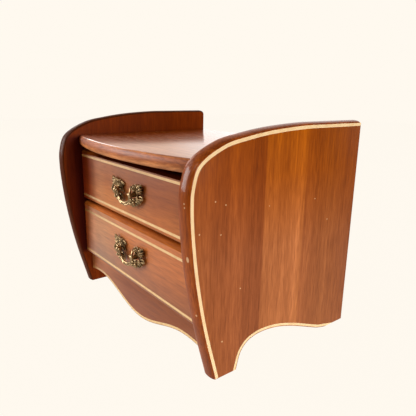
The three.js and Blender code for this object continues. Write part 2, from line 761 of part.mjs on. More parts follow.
function pull(name, front) {
  const height = front.low + front.pullRise;
  return [
    pullPlate(`${name}_pull_plate_left`, -1, height),
    pullPlate(`${name}_pull_plate_right`, 1, height),
    bail(`${name}_pull_bail`, height),
    ...pullNuts(`${name}_pull_nut`, height),
  ];
}

// Heights and axes of the movement's train.
const housingTop = bedTop + glueLine + housingHeight;
const crownLow = housingTop + crownGap;
const crownHigh = crownLow + crownThickness;
const pinionRadius = crownRadius * pinionTeeth / crownTeeth;
const cylinderHeight = crownHigh + runClearance + toothDepth / 2 + pinionRadius;
const cylinderEnd = cylinderStart + cylinderLength;
const wheelRadius = wheelTeeth * wheelModule / 2;
const wheelLow = cylinderEnd + wheelGap;
const smallPinionRadius = smallPinionTeeth * wheelModule / 2;
const trainDistance = wheelRadius + smallPinionRadius;
const trainReach = driveAxisReach - trainDistance * Math.cos(radians(trainAngle));
const trainHeight = cylinderHeight - trainDistance * Math.sin(radians(trainAngle));
const wormWheelRadius = wormWheelTeeth * wormModule / 2;
const wormWheelLow = wheelLow + wheelThickness + wormWheelGap;
const wormWheelMiddle = wormWheelLow + wormWheelThickness / 2;
const flyReach = trainReach - wormWheelRadius - wormPitchRadius;
const rightPlateLow = wormWheelLow + wormWheelThickness + wheelThickness + endClearance;
const rightPlateHigh = rightPlateLow + bracketThickness;
const leftPlateHigh = wheelLow - wheelThickness;

// Spur gear outline with trapezoid teeth, turned so that a gap or a tooth faces an angle.
function gearShape(teeth, rootRadius, tipRadius, tipShare, facing, centre) {
  const pitch = Math.PI * 2 / teeth;
  const corners = [[-0.72, rootRadius], [-0.4, tipRadius], [0.4, tipRadius], [0.72, rootRadius]];
  const points = Array.from({ length: teeth }, (_, i) => corners.map(([place, radius]) => {
    const angle = facing + pitch * (i + place * tipShare);
    return [centre[0] + radius * Math.cos(angle), centre[1] + radius * Math.sin(angle)];
  }));
  return outlineShape(points.flat());
}

// The outline of a gear on an X axis is drawn in y and height.
function gearX(teeth, pitchRadius, depth, facing, reach, height, from, to, tipShare = toothShare) {
  const root = pitchRadius - depth / 2;
  const shape = gearShape(teeth, root, root + depth, tipShare, facing, [yAt(reach), height]);
  return extrudeX(shape, from, to);
}

function bedplate() {
  const right = bedLeft + bedLength;
  const front = bedFront;
  const shape = outlineShape([
    [bedLeft + bedCorner, yAt(front)], [right - bedCorner, yAt(front)], [right, yAt(front - bedCorner)],
    [right, yAt(bedRear + bedCorner)], [right - bedCorner, yAt(bedRear)], [bedLeft + bedCorner, yAt(bedRear)],
    [bedLeft, yAt(bedRear + bedCorner)], [bedLeft, yAt(front - bedCorner)],
  ]);
  roundHole(shape, driveAxisX, yAt(driveAxisReach), windArborRadius + boreClearance);
  const seat = combSeat();
  const bearer = slab([cylinderStart, cylinderEnd], [front - combBackWidth, front],
    [bedLow + bedThickness / 2, seat.low - glueLine]);
  return piece('bedplate', 'castZinc', join(extrudeZ(shape, bedLow, bedTop, roundSteps), bearer));
}

function springDrive() {
  const low = bedTop + glueLine;
  const inner = housingRadius - housingWall;
  const collar = windArborRadius + boreClearance;
  const cup = [
    [inner, low], [housingRadius, low], [housingRadius, housingTop], [collar, housingTop],
    [collar, housingTop - housingWall], [inner, housingTop - housingWall], [inner, low],
  ];
  const at = (geometry) => geometry.translate(driveAxisX, yAt(driveAxisReach), 0);
  return [
    piece('spring_housing', 'brass', at(turned(cup, 24))),
    piece('mainspring', 'steel', at(extrudeZ(spiralShape(inner - endClearance),
      low + endClearance, housingTop - housingWall - endClearance))),
  ];
}

function spiralShape(outer) {
  const steps = springTurns * 12;
  const climb = (outer - springThickness - springInner) / steps;
  const edge = (offset) => Array.from({ length: steps + 1 }, (_, i) => {
    const angle = Math.PI / 6 * i;
    const radius = springInner + offset + climb * i;
    return [radius * Math.cos(angle), radius * Math.sin(angle)];
  });
  return outlineShape([...edge(0).reverse(), ...edge(springThickness)]);
}

// Winding arbor with its crown gear, and the wing key screwed to its lower end.
function windingPieces() {
  const at = (geometry) => geometry.translate(driveAxisX, yAt(driveAxisReach), 0);
  const keyLow = keyGroundGap + keyWingHeight - keyHubHeight + keyHubHeight / 2;
  const keyHigh = keyLow + keyHubHeight;
  const arborLow = keyLow + windArborRadius;
  const outer = crownRadius + crownFace / 2;
  const inner = crownRadius - crownFace / 2;
  const disc = turned(rod(outer, crownLow, crownHigh), crownTeeth);
  const width = 2 * Math.PI * crownRadius / crownTeeth * toothShare;
  const teeth = Array.from({ length: crownTeeth }, (_, i) => block(
    new THREE.Vector3(inner, -width / 2, crownHigh - crownThickness / 2),
    new THREE.Vector3(outer - runClearance, width / 2, crownHigh + toothDepth),
  ).rotateZ(Math.PI * 2 / crownTeeth * (i + 0.5)));
  const arbor = turned(rod(windArborRadius, arborLow, crownHigh), 12);
  const hub = turned(tube(windArborRadius + runClearance, keyHubRadius, keyLow, keyHigh), 16);
  const wing = (side) => {
    const near = side * (windArborRadius + runClearance + keyWingThickness / 4);
    const far = side * keyWingReach;
    const low = keyGroundGap;
    const high = keyGroundGap + keyWingHeight;
    const shape = outlineShape([
      [near, keyLow + runClearance], [far * 0.7, low], [far, low + keyWingHeight * 0.25],
      [far, high - keyWingHeight * 0.3], [far * 0.75, high], [near, keyLow + keyHubHeight * 0.8],
    ]);
    return extrudeY(shape, -keyWingThickness / 2, keyWingThickness / 2);
  };
  return [
    piece('winding_arbor', 'brass', at(join(disc, ...teeth, arbor))),
    piece('winding_key', 'steel', at(join(hub, wing(-1), wing(1)))),
  ];
}

// Pinned cylinder: rows of pins, one row for each comb tooth, at steps of a fixed share of a turn.
const rowPitch = cylinderLength / pinRows;
function pinnedCylinder() {
  const base = new THREE.Matrix4().makeRotationY(Math.PI / 2);
  const bore = cylinderArborRadius + runClearance;
  const drum = turned(tube(bore, cylinderRadius, cylinderStart, cylinderEnd), 24).applyMatrix4(base);
  const pins = [];
  for (let row = 0; row < pinRows; row += 1) {
    for (let i = 0; i < pinsPerRow; i += 1) {
      const turn = (row * pinStepShare + i / pinsPerRow + pinStepShare * ((row * i) % 3) / pinsPerRow) % 1;
      const x = cylinderStart + rowPitch * (row + 0.5);
      const pin = block(
        new THREE.Vector3(x - pinWidth / 2, -pinWidth / 2, cylinderRadius - pinHeight),
        new THREE.Vector3(x + pinWidth / 2, pinWidth / 2, cylinderRadius + pinHeight),
      );
      pins.push(pin.rotateX(Math.PI * 2 * turn));
    }
  }
  const geometry = join(drum, ...pins);
  return piece('pinned_cylinder', 'brass', geometry.translate(0, yAt(driveAxisReach), cylinderHeight));
}

// Arbor of the cylinder with the pinion that the crown gear drives and the wheel of the governor train.
const pinionMiddle = driveAxisX + crownRadius;
const bracketHigh = pinionMiddle - crownFace / 2 - wheelThickness;
const bracketLow = bracketHigh - bracketThickness;
function cylinderArbor() {
  const shaft = rodX(cylinderArborRadius, bracketLow, rightPlateHigh, driveAxisReach, cylinderHeight, 10);
  const pinion = gearX(pinionTeeth, pinionRadius, toothDepth, -Math.PI / 2, driveAxisReach, cylinderHeight,
    pinionMiddle - crownFace / 2, pinionMiddle + crownFace / 2);
  const wheel = gearX(wheelTeeth, wheelRadius, 2 * wheelModule, -radians(trainAngle),
    driveAxisReach, cylinderHeight, wheelLow, wheelLow + wheelThickness);
  return piece('cylinder_arbor', 'brass', join(shaft, pinion, wheel));
}

// Comb: one steel plate, its teeth longest at the bass end.
function combSeat() {
  const low = cylinderHeight - combThickness / 2;
  return { low, high: low + combThickness };
}

function comb() {
  const seat = combSeat();
  const tips = driveAxisReach + cylinderRadius + pinHeight + endClearance;
  const back = bedFront;
  const gap = rowPitch * combGapShare;
  const teeth = Array.from({ length: pinRows }, (_, row) => {
    const left = cylinderStart + rowPitch * row + gap / 2;
    const length = combToothLong + (combToothShort - combToothLong) * row / (pinRows - 1);
    const root = yAt(Math.min(tips + length, back - combBackWidth));
    const right = left + rowPitch - gap;
    return [[left, root], [left, yAt(tips)], [right, yAt(tips)], [right, root]];
  });
  const shape = outlineShape([[cylinderStart, yAt(back)], ...teeth.flat(), [cylinderEnd, yAt(back)]]);
  return piece('comb', 'steel', extrudeZ(shape, seat.low, seat.high));
}

// Bearing plates: a bridge over the crown gear, a short plate and a tall plate for the train.
function bearingPlates() {
  const low = bedTop + glueLine;
  const half = bracketSpan / 2;
  const bridgeTop = cylinderHeight + bracketRise;
  const bridgeLow = crownHigh + toothDepth + endClearance;
  const bridge = outlineShape([
    [-half, low], [bracketLeg - half, low], [bracketLeg - half, bridgeLow], [half - bracketLeg, bridgeLow],
    [half - bracketLeg, low], [half, low], [half, bridgeTop - bracketLeg], [half - bracketLeg, bridgeTop],
    [bracketLeg - half, bridgeTop], [-half, bridgeTop - bracketLeg],
  ].map(([y, z]) => [y + yAt(driveAxisReach), z]));
  roundHole(bridge, yAt(driveAxisReach), cylinderHeight, cylinderArborRadius + runClearance);
  const trainY = yAt(trainReach);
  const ear = trainArborRadius * 2.4;
  const short = outlineShape([
    [trainY - ear, low], [trainY + ear, low],
    [trainY + ear, trainHeight + ear], [trainY - ear, trainHeight + ear],
  ]);
  roundHole(short, trainY, trainHeight, trainArborRadius + runClearance);
  const cylinderY = yAt(driveAxisReach);
  const tallEar = bracketRise - runClearance;
  const tall = outlineShape([
    [cylinderY - tallEar, low], [trainY + ear, low], [trainY + ear, trainHeight + ear],
    [cylinderY + tallEar, cylinderHeight + tallEar / 2], [cylinderY + tallEar / 2, cylinderHeight + tallEar],
    [cylinderY - tallEar / 2, cylinderHeight + tallEar], [cylinderY - tallEar, cylinderHeight + tallEar / 2],
  ]);
  roundHole(tall, trainY, trainHeight, trainArborRadius + runClearance);
  roundHole(tall, cylinderY, cylinderHeight, cylinderArborRadius + runClearance);
  return [
    piece('crown_bridge', 'castZinc', extrudeX(bridge, bracketLow, bracketHigh, roundSteps)),
    piece('train_plate_left', 'castZinc',
      extrudeX(short, leftPlateHigh - bracketThickness, leftPlateHigh, roundSteps)),
    piece('train_plate_right', 'castZinc', extrudeX(tall, rightPlateLow, rightPlateHigh, roundSteps)),
  ];
}

// Train arbor: a small pinion driven by the cylinder's wheel, and the wheel that turns the worm.
function trainArbor() {
  const shaft = rodX(trainArborRadius, leftPlateHigh - bracketThickness, rightPlateHigh,
    trainReach, trainHeight, 8);
  const pitch = Math.PI * 2 / smallPinionTeeth;
  const pinion = gearX(smallPinionTeeth, smallPinionRadius - smallPinionSlack / 2,
    2 * wheelModule - smallPinionSlack, Math.PI - radians(trainAngle) + pitch / 2, trainReach,
    trainHeight, wheelLow - smallPinionSlack, wheelLow + wheelThickness + smallPinionSlack);
  const wormPitch = Math.PI * 2 / wormWheelTeeth;
  const wheel = gearX(wormWheelTeeth, wormWheelRadius, 2 * wormModule - wormTipGap, wormPitch / 2, trainReach,
    trainHeight, wormWheelLow, wormWheelLow + wormWheelThickness, wormWheelToothShare);
  return piece('train_arbor', 'whiteNylon', join(shaft, pinion, wheel));
}

// Governor: a worm that the train drives, with a smooth hub and two air blades above it.
function wormThread(start) {
  const lead = wormStarts * Math.PI * wormModule;
  const steps = 15;
  const inner = flyShaftRadius;
  const outer = wormPitchRadius + wormModule - wormTipGap;
  const half = wormThreadWidth / 2;
  const rings = Array.from({ length: steps + 1 }, (_, i) => {
    const z = wormLength * (i / steps - 1 / 2);
    const angle = -Math.PI / 2 + Math.PI * 2 * (z / lead + start / wormStarts);
    const at = (radius, up) => new THREE.Vector3(radius * Math.cos(angle), radius * Math.sin(angle),
      trainHeight + z + up);
    return [at(inner, -half), at(outer, -half), at(outer, half), at(inner, half)];
  });
  return loft(rings);
}

const flyFrameLow = bedTop + glueLine;
const flyFootHigh = flyFrameLow + flyFrameThickness;
const flyHubLow = trainHeight + wormLength / 2 + flyHubGap;
const flyBladeLow = flyHubLow + flyHubHeight;
const flyTop = flyBladeLow + flyBladeHeight + endClearance;
function governorFly() {
  const shaft = turned(rod(flyShaftRadius, flyFootHigh + endClearance, flyTop), 8);
  const core = turned(rod(wormPitchRadius - wormModule, trainHeight - wormLength / 2,
    flyHubLow + flyHubHeight / 2), 10);
  const hub = turned(rod(flyHubRadius, flyHubLow, flyBladeLow), 16);
  const blades = block(
    new THREE.Vector3(-flyBladeRadius, -flyBladeThickness / 2, flyBladeLow + runClearance),
    new THREE.Vector3(flyBladeRadius, flyBladeThickness / 2, flyBladeLow + flyBladeHeight),
  );
  const threads = Array.from({ length: wormStarts }, (_, start) => wormThread(start));
  return piece('governor_fly', 'whiteNylon',
    join(core, shaft, hub, blades, ...threads).translate(wormWheelMiddle, yAt(flyReach), 0));
}

// Frame of the fly: a foot, an upright behind the blades and an arm over them.
function flyFrame() {
  const rear = yAt(flyReach) + flyBladeRadius + endClearance * 2;
  const near = yAt(flyReach) - flyShaftRadius * 3;
  const top = flyTop + endClearance;
  const shape = outlineShape([
    [near, flyFrameLow], [rear + flyFrameThickness, flyFrameLow],
    [rear + flyFrameThickness, top + flyFrameThickness], [near, top + flyFrameThickness],
    [near, top], [rear, top], [rear, flyFootHigh], [near, flyFootHigh],
  ]);
  return piece('fly_frame', 'castZinc',
    extrudeX(shape, wormWheelMiddle - flyFrameWidth / 2, wormWheelMiddle + flyFrameWidth / 2));
}

// Stop lever: the back of the lower drawer holds its toe, and its brake tip rests by the fly's hub.
const stopLow = flyHubLow + (flyHubHeight - stopThickness) / 2;
const stopHigh = stopLow + stopThickness;
function bentBar(points, width) {
  const half = width / 2;
  const path = points.map(([x, reach]) => new THREE.Vector2(x, yAt(reach)));
  const directions = path.map((point, i) => {
    const before = path[Math.max(i - 1, 0)];
    const after = path[Math.min(i + 1, path.length - 1)];
    const tangent = new THREE.Vector2().subVectors(after, before).normalize();
    return new THREE.Vector2(-tangent.y, tangent.x);
  });
  const sideOf = (offset) => path.map((p, i) => p.clone().addScaledVector(directions[i], offset));
  return new THREE.Shape([...sideOf(-half), ...sideOf(half).reverse()]);
}

function stopPieces() {
  const low = bedTop + glueLine;
  const post = [
    [0, low], [stopPostRadius, low], [stopPostRadius, stopLow - glueLine],
    [stopPinRadius, stopLow - glueLine], [stopPinRadius, stopHigh + stopThickness],
    [0, stopHigh + stopThickness],
  ];
  const brake = radians(35);
  const tipRadius = flyHubRadius + endClearance + stopArmWidth / 2;
  const tip = [wormWheelMiddle + tipRadius * Math.cos(brake), flyReach + tipRadius * Math.sin(brake)];
  const toeReach = lowerFront.back - drawerRunGap - stopArmWidth / 2;
  const arm = extrudeZ(bentBar([
    [stopToeX, toeReach], [stopPivotX + stopArmWidth, stopPivotReach + stopArmWidth],
    [stopPivotX, stopPivotReach - stopArmWidth], [stopElbowX, stopElbowReach + stopArmWidth], tip,
  ], stopArmWidth), stopLow, stopHigh);
  const boss = turned(rod(stopPostRadius * 1.6, stopLow, stopHigh), 12)
    .translate(stopPivotX, yAt(stopPivotReach), 0);
  const bore = turned(rod(stopPinRadius + runClearance, stopLow - overrun, stopHigh + overrun), 10)
    .translate(stopPivotX, yAt(stopPivotReach), 0);
  return [
    piece('stop_post', 'steel', turned(post, 12).translate(stopPivotX, yAt(stopPivotReach), 0)),
    piece('stop_lever', 'steel', cut(join(arm, boss), bore)),
  ];
}

function movement() {
  return [
    bedplate(), ...springDrive(), ...windingPieces(), pinnedCylinder(), cylinderArbor(),
    comb(), ...bearingPlates(), trainArbor(), governorFly(), flyFrame(), ...stopPieces(),
  ];
}

const box = new THREE.Group();
box.name = 'musical_jewelry_box';
const groups = {
  case: [
    ...sidePanel('side_panel_left', -1), ...sidePanel('side_panel_right', 1), topBoard(),
    ...apronPieces(), ...caseBoards(),
  ],
  upper_drawer: [
    ...drawerFront('upper_drawer', upperFront),
    ...drawerBox('upper_drawer', upperFront, dividerTop + drawerRunGap),
    ...ringRolls(), ...pull('upper', upperFront),
  ],
  lower_drawer: [
    ...drawerFront('lower_drawer', lowerFront),
    ...drawerBox('lower_drawer', lowerFront, floorTop + drawerRunGap),
    ...pull('lower', lowerFront),
  ],
  movement: movement(),
};
Object.entries(groups).forEach(([name, meshes]) => {
  const group = new THREE.Group();
  group.name = name;
  meshes.forEach((mesh) => group.add(mesh));
  box.add(group);
});

export default box;
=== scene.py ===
"""Looks of the musical jewelry box: lacquered red-brown wood, pale stringing, cast brass pulls."""

import math

import bpy
import numpy as np
from mathutils import Matrix, Vector


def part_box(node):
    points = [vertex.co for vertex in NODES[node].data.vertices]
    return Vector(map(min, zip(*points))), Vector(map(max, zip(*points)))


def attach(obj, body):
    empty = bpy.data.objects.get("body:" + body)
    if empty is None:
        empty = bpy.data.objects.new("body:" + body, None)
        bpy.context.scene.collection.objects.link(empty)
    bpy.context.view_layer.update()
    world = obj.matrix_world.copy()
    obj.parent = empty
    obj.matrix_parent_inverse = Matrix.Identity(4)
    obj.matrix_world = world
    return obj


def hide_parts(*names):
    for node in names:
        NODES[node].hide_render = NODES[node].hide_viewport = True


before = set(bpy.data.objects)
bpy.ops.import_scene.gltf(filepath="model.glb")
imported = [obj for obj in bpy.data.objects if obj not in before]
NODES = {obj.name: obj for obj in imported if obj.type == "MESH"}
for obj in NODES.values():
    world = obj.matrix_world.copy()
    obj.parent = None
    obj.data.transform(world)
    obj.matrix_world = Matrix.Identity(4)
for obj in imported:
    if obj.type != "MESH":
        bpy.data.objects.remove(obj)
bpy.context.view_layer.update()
MM = 0.001

# The box's own sizes, in millimetres. A reach is measured forward from the plane of the panels' back edges.
DEPTH = 164.5
HEIGHT = 170.0
HALF_WIDTH = 106.3
THICK = 11.5
INNER = HALF_WIDTH - THICK
JOINT = 0.02  # between a rail or board and the panel beside it

# How finely the pieces are drawn.
NOSE_STEPS = 16
CORNER_STEPS = 4
TUBE_SIDES = 10
SHARP = 35.0  # degrees from which an arris stays sharp
SHARPEST_MITRE = 0.35
POLE = 1e-4


def y_at(reach):
    return DEPTH / 2 - reach


# Curves.
def quarter(steps):
    """Angles from 0 to a quarter turn."""
    return [math.pi / 2 * k / steps for k in range(steps + 1)]


def turns(count):
    """Angles of a whole turn, the last one left out."""
    return np.linspace(0, 2 * math.pi, count, endpoint=False)


def smooth_curve(points, per_segment):
    """Smooth curve through points, kept from overshooting where they lie close together."""
    p = [np.array(q, float) for q in points]
    p = [2 * p[0] - p[1]] + p + [2 * p[-1] - p[-2]]
    out = []
    for i in range(1, len(p) - 2):
        a, b, c, d = p[i - 1 : i + 3]
        d0, d1, d2 = (math.sqrt(np.linalg.norm(q - r)) for q, r in ((b, a), (c, b), (d, c)))
        t1 = ((b - a) / d0 - (c - a) / (d0 + d1) + (c - b) / d1) * d1
        t2 = ((c - b) / d1 - (d - b) / (d1 + d2) + (d - c) / d2) * d1
        for k in range(per_segment):
            t = k / per_segment
            out.append((2 * t**3 - 3 * t**2 + 1) * b + (t**3 - 2 * t**2 + t) * t1
                       + (3 * t**2 - 2 * t**3) * c + (t**3 - t**2) * t2)
    out.append(p[-2])
    return np.array(out)


def shrink_directions(points, start, end):
    """Directions in which an open outline shrinks to its left; its ends slide along start and end."""
    tangent = np.vstack([points[1:], points[-1:]]) - np.vstack([points[:1], points[:-1]])
    tangent /= np.linalg.norm(tangent, axis=1)[:, None]
    inward = np.stack([-tangent[:, 1], tangent[:, 0]], 1)
    along = inward.copy()
    along[0], along[-1] = start, end
    return along / np.sum(along * inward, axis=1)[:, None]


def closed_directions(points):
    """Mitred inward directions of a closed outline."""
    area = np.sum(points[:, 0] * np.roll(points[:, 1], -1) - np.roll(points[:, 0], -1) * points[:, 1])
    turn = 1 if area > 0 else -1

    def normal(t):
        t = t / np.maximum(np.linalg.norm(t, axis=1), 1e-9)[:, None]
        return turn * np.stack([-t[:, 1], t[:, 0]], 1)

    before = normal(points - np.roll(points, 1, 0))
    middle = before + normal(np.roll(points, -1, 0) - points)
    middle /= np.maximum(np.linalg.norm(middle, axis=1), 1e-9)[:, None]
    return middle / np.maximum(np.sum(middle * before, axis=1), SHARPEST_MITRE)[:, None]


def strip(edge, directions, near, far):
    """Outline of a string that follows an edge between two distances from it."""
    return np.vstack([edge + directions * near, (edge + directions * far)[::-1]])


def rounded_rectangle(x, y, radius):
    """Outline between two x and two y, its corners rounded."""
    (left, right), (front, back) = (x[0] + radius, x[1] - radius), (y[0] + radius, y[1] - radius)
    centres = ((right, back), (left, back), (left, front), (right, front))
    return [(cx + radius * math.cos(a + math.pi / 2 * corner), cy + radius * math.sin(a + math.pi / 2 * corner))
            for corner, (cx, cy) in enumerate(centres) for a in quarter(CORNER_STEPS)]


# Meshes.
def placed(name, data):
    """A new object in the scene."""
    obj = bpy.data.objects.new(name, data)
    bpy.context.scene.collection.objects.link(obj)
    return obj


def drawn(name, verts, edges, faces):
    """A mesh object from places in millimetres."""
    mesh = bpy.data.meshes.new(name)
    mesh.from_pydata([tuple(float(c) * MM for c in v) for v in verts], edges, [list(map(int, f)) for f in faces])
    return placed(name, mesh)


def shaded(mesh, sharp=SHARP):
    """Smooth faces with sharp arrises."""
    mesh.polygons.foreach_set("use_smooth", [True] * len(mesh.polygons))
    mesh.set_sharp_from_angle(angle=math.radians(sharp))
    mesh.update()


def outwards(verts, faces):
    """The faces of a closed skin, all turned round if they point inwards."""
    volume = 0.0
    for f in faces:
        for i in range(1, len(f) - 1):
            volume += np.dot(verts[f[0]], np.cross(verts[f[i]], verts[f[i + 1]]))
    return [f[::-1] for f in faces] if volume < 0 else faces


def loft(rings):
    """Vertices and faces of a closed skin over rings of equal count."""
    count, levels = len(rings[0]), len(rings)
    verts = np.vstack(rings)
    faces = []
    for start in range(0, (levels - 1) * count, count):
        for i in range(count):
            j = (i + 1) % count
            faces.append((start + i, start + j, start + count + j, start + count + i))
    faces.append(tuple(range(count))[::-1])
    faces.append(tuple(range((levels - 1) * count, levels * count)))
    return verts, outwards(verts, faces)


def joined(parts):
    """Several skins as one."""
    verts, faces, start = [], [], 0
    for v, f in parts:
        verts.append(np.asarray(v, float))
        faces += [tuple(i + start for i in face) for face in f]
        start += len(v)
    return np.vstack(verts), faces


def nosed(edge, directions, rest, thickness, first, last, place):
    """A board whose moulded edge falls back elliptically towards both faces."""
    rings = []
    for step in range(NOSE_STEPS + 1):
        angle = math.pi * (step / NOSE_STEPS - 0.5)
        nose = first if angle < 0 else last
        moved = edge + directions * nose * (1 - math.cos(angle))
        depth = thickness / 2 * (1 + math.sin(angle))
        rings.append(np.array([place(p, depth) for p in np.vstack([moved, rest])]))
    return loft(rings)


def nose_faces(edge, rest, steps=NOSE_STEPS):
    """The faces of a board's moulded edge, up to a step."""
    count = len(edge) + len(rest)
    return [i for i in range(steps * count) if i % count < len(edge) - 1]


def prism(outline, start, end, rounding, place, steps=3, both=True):
    """A closed outline carried from start to end, its arrises rounded at the start or at both ends."""
    outline = np.array(outline, float)
    directions = closed_directions(outline)
    arris = [(rounding * (1 - math.sin(a)), rounding * (1 - math.cos(a))) for a in quarter(steps)]
    levels = [(start + back, inset) for back, inset in arris[::-1]]
    levels += [(end - back, inset) for back, inset in arris] if both else [(end, 0)]
    return loft([np.array([place(p, depth) for p in outline + directions * inset]) for depth, inset in levels])


def lathe(profile, segments, place):
    """Turned solid from (radius, height) pairs that start and end on the axis."""
    rings = []
    for radius, height in profile:
        r = max(radius, POLE)
        rings.append(np.array([place((r * math.cos(a), r * math.sin(a)), height) for a in turns(segments)]))
    return loft(rings)


def tube(points, radii):
    """A round section swept along 3-D points."""
    points = np.array(points, float)
    radii = np.broadcast_to(np.array(radii, float), (len(points),))
    tangents = np.gradient(points, axis=0)
    tangents /= np.linalg.norm(tangents, axis=1)[:, None]
    normal = np.array((0.0, 0.0, 1.0))
    cos, sin = np.cos(turns(TUBE_SIDES))[:, None], np.sin(turns(TUBE_SIDES))[:, None]
    rings = []
    for point, tangent, radius in zip(points, tangents, radii):
        normal = normal - tangent * np.dot(normal, tangent)
        normal /= np.linalg.norm(normal)
        rings.append(point + radius * (cos * np.cross(tangent, normal) + sin * normal))
    return loft(rings)


# Materials.
def feed(tree, socket, value):
    """Gives an input its value, or the output that it reads."""
    if isinstance(value, bpy.types.NodeSocket):
        tree.links.new(value, socket)
    else:
        socket.default_value = value


def set_inputs(tree, node, settings):
    for label, value in settings.items():
        feed(tree, node.inputs[label.replace("_", " ")], value)


def add(tree, kind, **settings):
    """A new node with its own options and its inputs."""
    node = tree.nodes.new(kind)
    for key in [key for key in settings if hasattr(node, key)]:
        setattr(node, key, settings.pop(key))
    set_inputs(tree, node, settings)
    return node


def new_material(name, colour, roughness, **settings):
    material = bpy.data.materials.new(name)
    material.use_nodes = True
    tree = material.node_tree
    shader = tree.nodes["Principled BSDF"]
    set_inputs(tree, shader, {"Base Color": (*colour, 1), "Roughness": roughness, **settings})
    return material, tree, shader


def object_coordinates(tree, scale=(1, 1, 1), location=(0, 0, 0)):
    own = add(tree, "ShaderNodeTexCoord").outputs["Object"]
    return add(tree, "ShaderNodeMapping", Vector=own, Scale=scale, Location=location).outputs["Vector"]


SPANS = {"X": (-HALF_WIDTH, HALF_WIDTH), "Y": (-DEPTH / 2, DEPTH / 2), "Z": (0, HEIGHT)}


def share_along(tree, axis):
    """Place from left to right, front to back or foot to top of the box, from 0 to 1."""
    place = add(tree, "ShaderNodeSeparateXYZ", Vector=object_coordinates(tree)).outputs[axis]
    low, high = SPANS[axis]
    return add(tree, "ShaderNodeMapRange", Value=place, From_Min=low * MM, From_Max=high * MM).outputs[0]


def ramp(tree, value, stops):
    """Colours along a value, from (place, colour) stops."""
    node = add(tree, "ShaderNodeValToRGB", Fac=value)
    elements = node.color_ramp.elements
    while len(elements) < len(stops):
        elements.new(0.5)
    for element, (position, colour) in zip(elements, stops):
        element.position = position
        element.color = (*colour, 1)
    return node.outputs["Color"]


def noise(tree, vector, scale, detail=4.0, roughness=0.6, distortion=0.0):
    return add(tree, "ShaderNodeTexNoise", Vector=vector, Scale=scale, Detail=detail, Roughness=roughness,
               Distortion=distortion).outputs["Fac"]


def mix(tree, kind, factor, a, b):
    node = add(tree, "ShaderNodeMix", data_type="RGBA", blend_type=kind)
    for index, value in ((0, factor), (6, a), (7, b)):
        feed(tree, node.inputs[index], (*value, 1) if isinstance(value, tuple) else value)
    return node.outputs[2]


def math_node(tree, operation, *values, clamp=False):
    """A sum of numbers or of other outputs."""
    node = add(tree, "ShaderNodeMath", operation=operation, use_clamp=clamp)
    for socket, value in zip(node.inputs, values):
        feed(tree, socket, value)
    return node.outputs[0]


def bump(tree, shader, height, strength, distance):
    node = add(tree, "ShaderNodeBump", Height=height, Strength=strength, Distance=distance)
    tree.links.new(node.outputs["Normal"], shader.inputs["Normal"])


# Layers of a veneer's figure: along the grain, across it, detail, low stop, high stop, strength.
FIGURE = [(70, 620, 3, 0.32, 0.68, 0.16), (9, 230, 4, 0.32, 0.68, 0.13), (3, 55, 3, 0.34, 0.66, 0.1),
          (7, 16, 2, 0.35, 0.65, 0.06)]
BLUE_SWING = 0.25  # how much more each colour moves than the one before it, from red to blue
PORE_ALONG, PORE_ACROSS = 60, 1400
PORES = [(0.34, (0.5, 0.42, 0.4)), (0.46, (1, 1, 1))]
BARE_WOOD = (0.8, 0.5, 0.25)
CHIP_FADE = [(0.4, (0.75, 0.75, 0.75)), (0.6, (0, 0, 0))]
LONG_CHIP = 0.6  # chips of 1 mm and more are longer up the height


def along_grain(grain, along, across):
    return tuple(along if axis == grain else across for axis in "xyz")


def swing(factor):
    """Multipliers of one tone, the blue end moving most."""
    return tuple(max(0.0, 1 + factor * (1 + BLUE_SWING * step)) for step in range(3))


def wood(name, base, grain, contrast=1.0, roughness=0.42, coat=0.3, coat_roughness=0.28, pores=0.4, bands=None,
         unbanded=None, ends=None, heights=None, specular=0.3, chips=()):
    """Lacquered veneer: short flecks, long streaks, broad figure and open pores along the grain.

    Bands are tones from front to back, left out where unbanded is white up the height. Ends are tones from left to
    right, heights from foot to top; besides veneer tones these carry painted shade, shadow and sheen. Chips are bare
    specks: x, y, z and radius."""
    material, tree, shader = new_material(
        name, base, roughness, Coat_Weight=coat, Coat_Roughness=coat_roughness, Specular_IOR_Level=specular)
    colour = base
    for index, (along, across, detail, low, high, strength) in enumerate(FIGURE):
        apart = (3.1 * index, 1.7, 0.4 + index)
        vector = object_coordinates(tree, along_grain(grain, along, across), apart)
        value = noise(tree, vector, 1.0, detail, 0.55, 0.4)
        depth = strength * contrast
        tone = ramp(tree, value, [(low, swing(-depth)), (0.5, (1, 1, 1)), (high, swing(depth))])
        colour = mix(tree, "MULTIPLY", 1.0, colour, tone)
    vector = object_coordinates(tree, along_grain(grain, PORE_ALONG, PORE_ACROSS), (7.3, 2.9, 5.1))
    pore_noise = noise(tree, vector, 1.0, 2, 0.5)
    colour = mix(tree, "MULTIPLY", pores, colour, ramp(tree, pore_noise, PORES))
    for axis, stops in (("Y", bands), ("X", ends), ("Z", heights)):
        if stops:
            tone = ramp(tree, share_along(tree, axis), stops)
            if axis == "Y" and unbanded:
                tone = mix(tree, "MIX", ramp(tree, share_along(tree, "Z"), unbanded), tone, (1.0, 1.0, 1.0))
            colour = mix(tree, "MULTIPLY", 1.0, colour, tone)
    for x, y, z, radius in chips:
        squash = 1 if radius < 1 else LONG_CHIP
        near = object_coordinates(tree, (1 / MM, 1 / MM, squash / MM))
        away = add(tree, "ShaderNodeVectorMath", operation="DISTANCE", Vector=near)
        away.inputs[1].default_value = (x, y, z * squash)
        reach = add(tree, "ShaderNodeMapRange", Value=away.outputs["Value"], From_Max=radius * 2)
        colour = mix(tree, "MIX", ramp(tree, reach.outputs[0], CHIP_FADE), colour, BARE_WOOD)
    tree.links.new(colour, shader.inputs["Base Color"])
    bump(tree, shader, pore_noise, 0.08, 0.2 * MM)
    return material


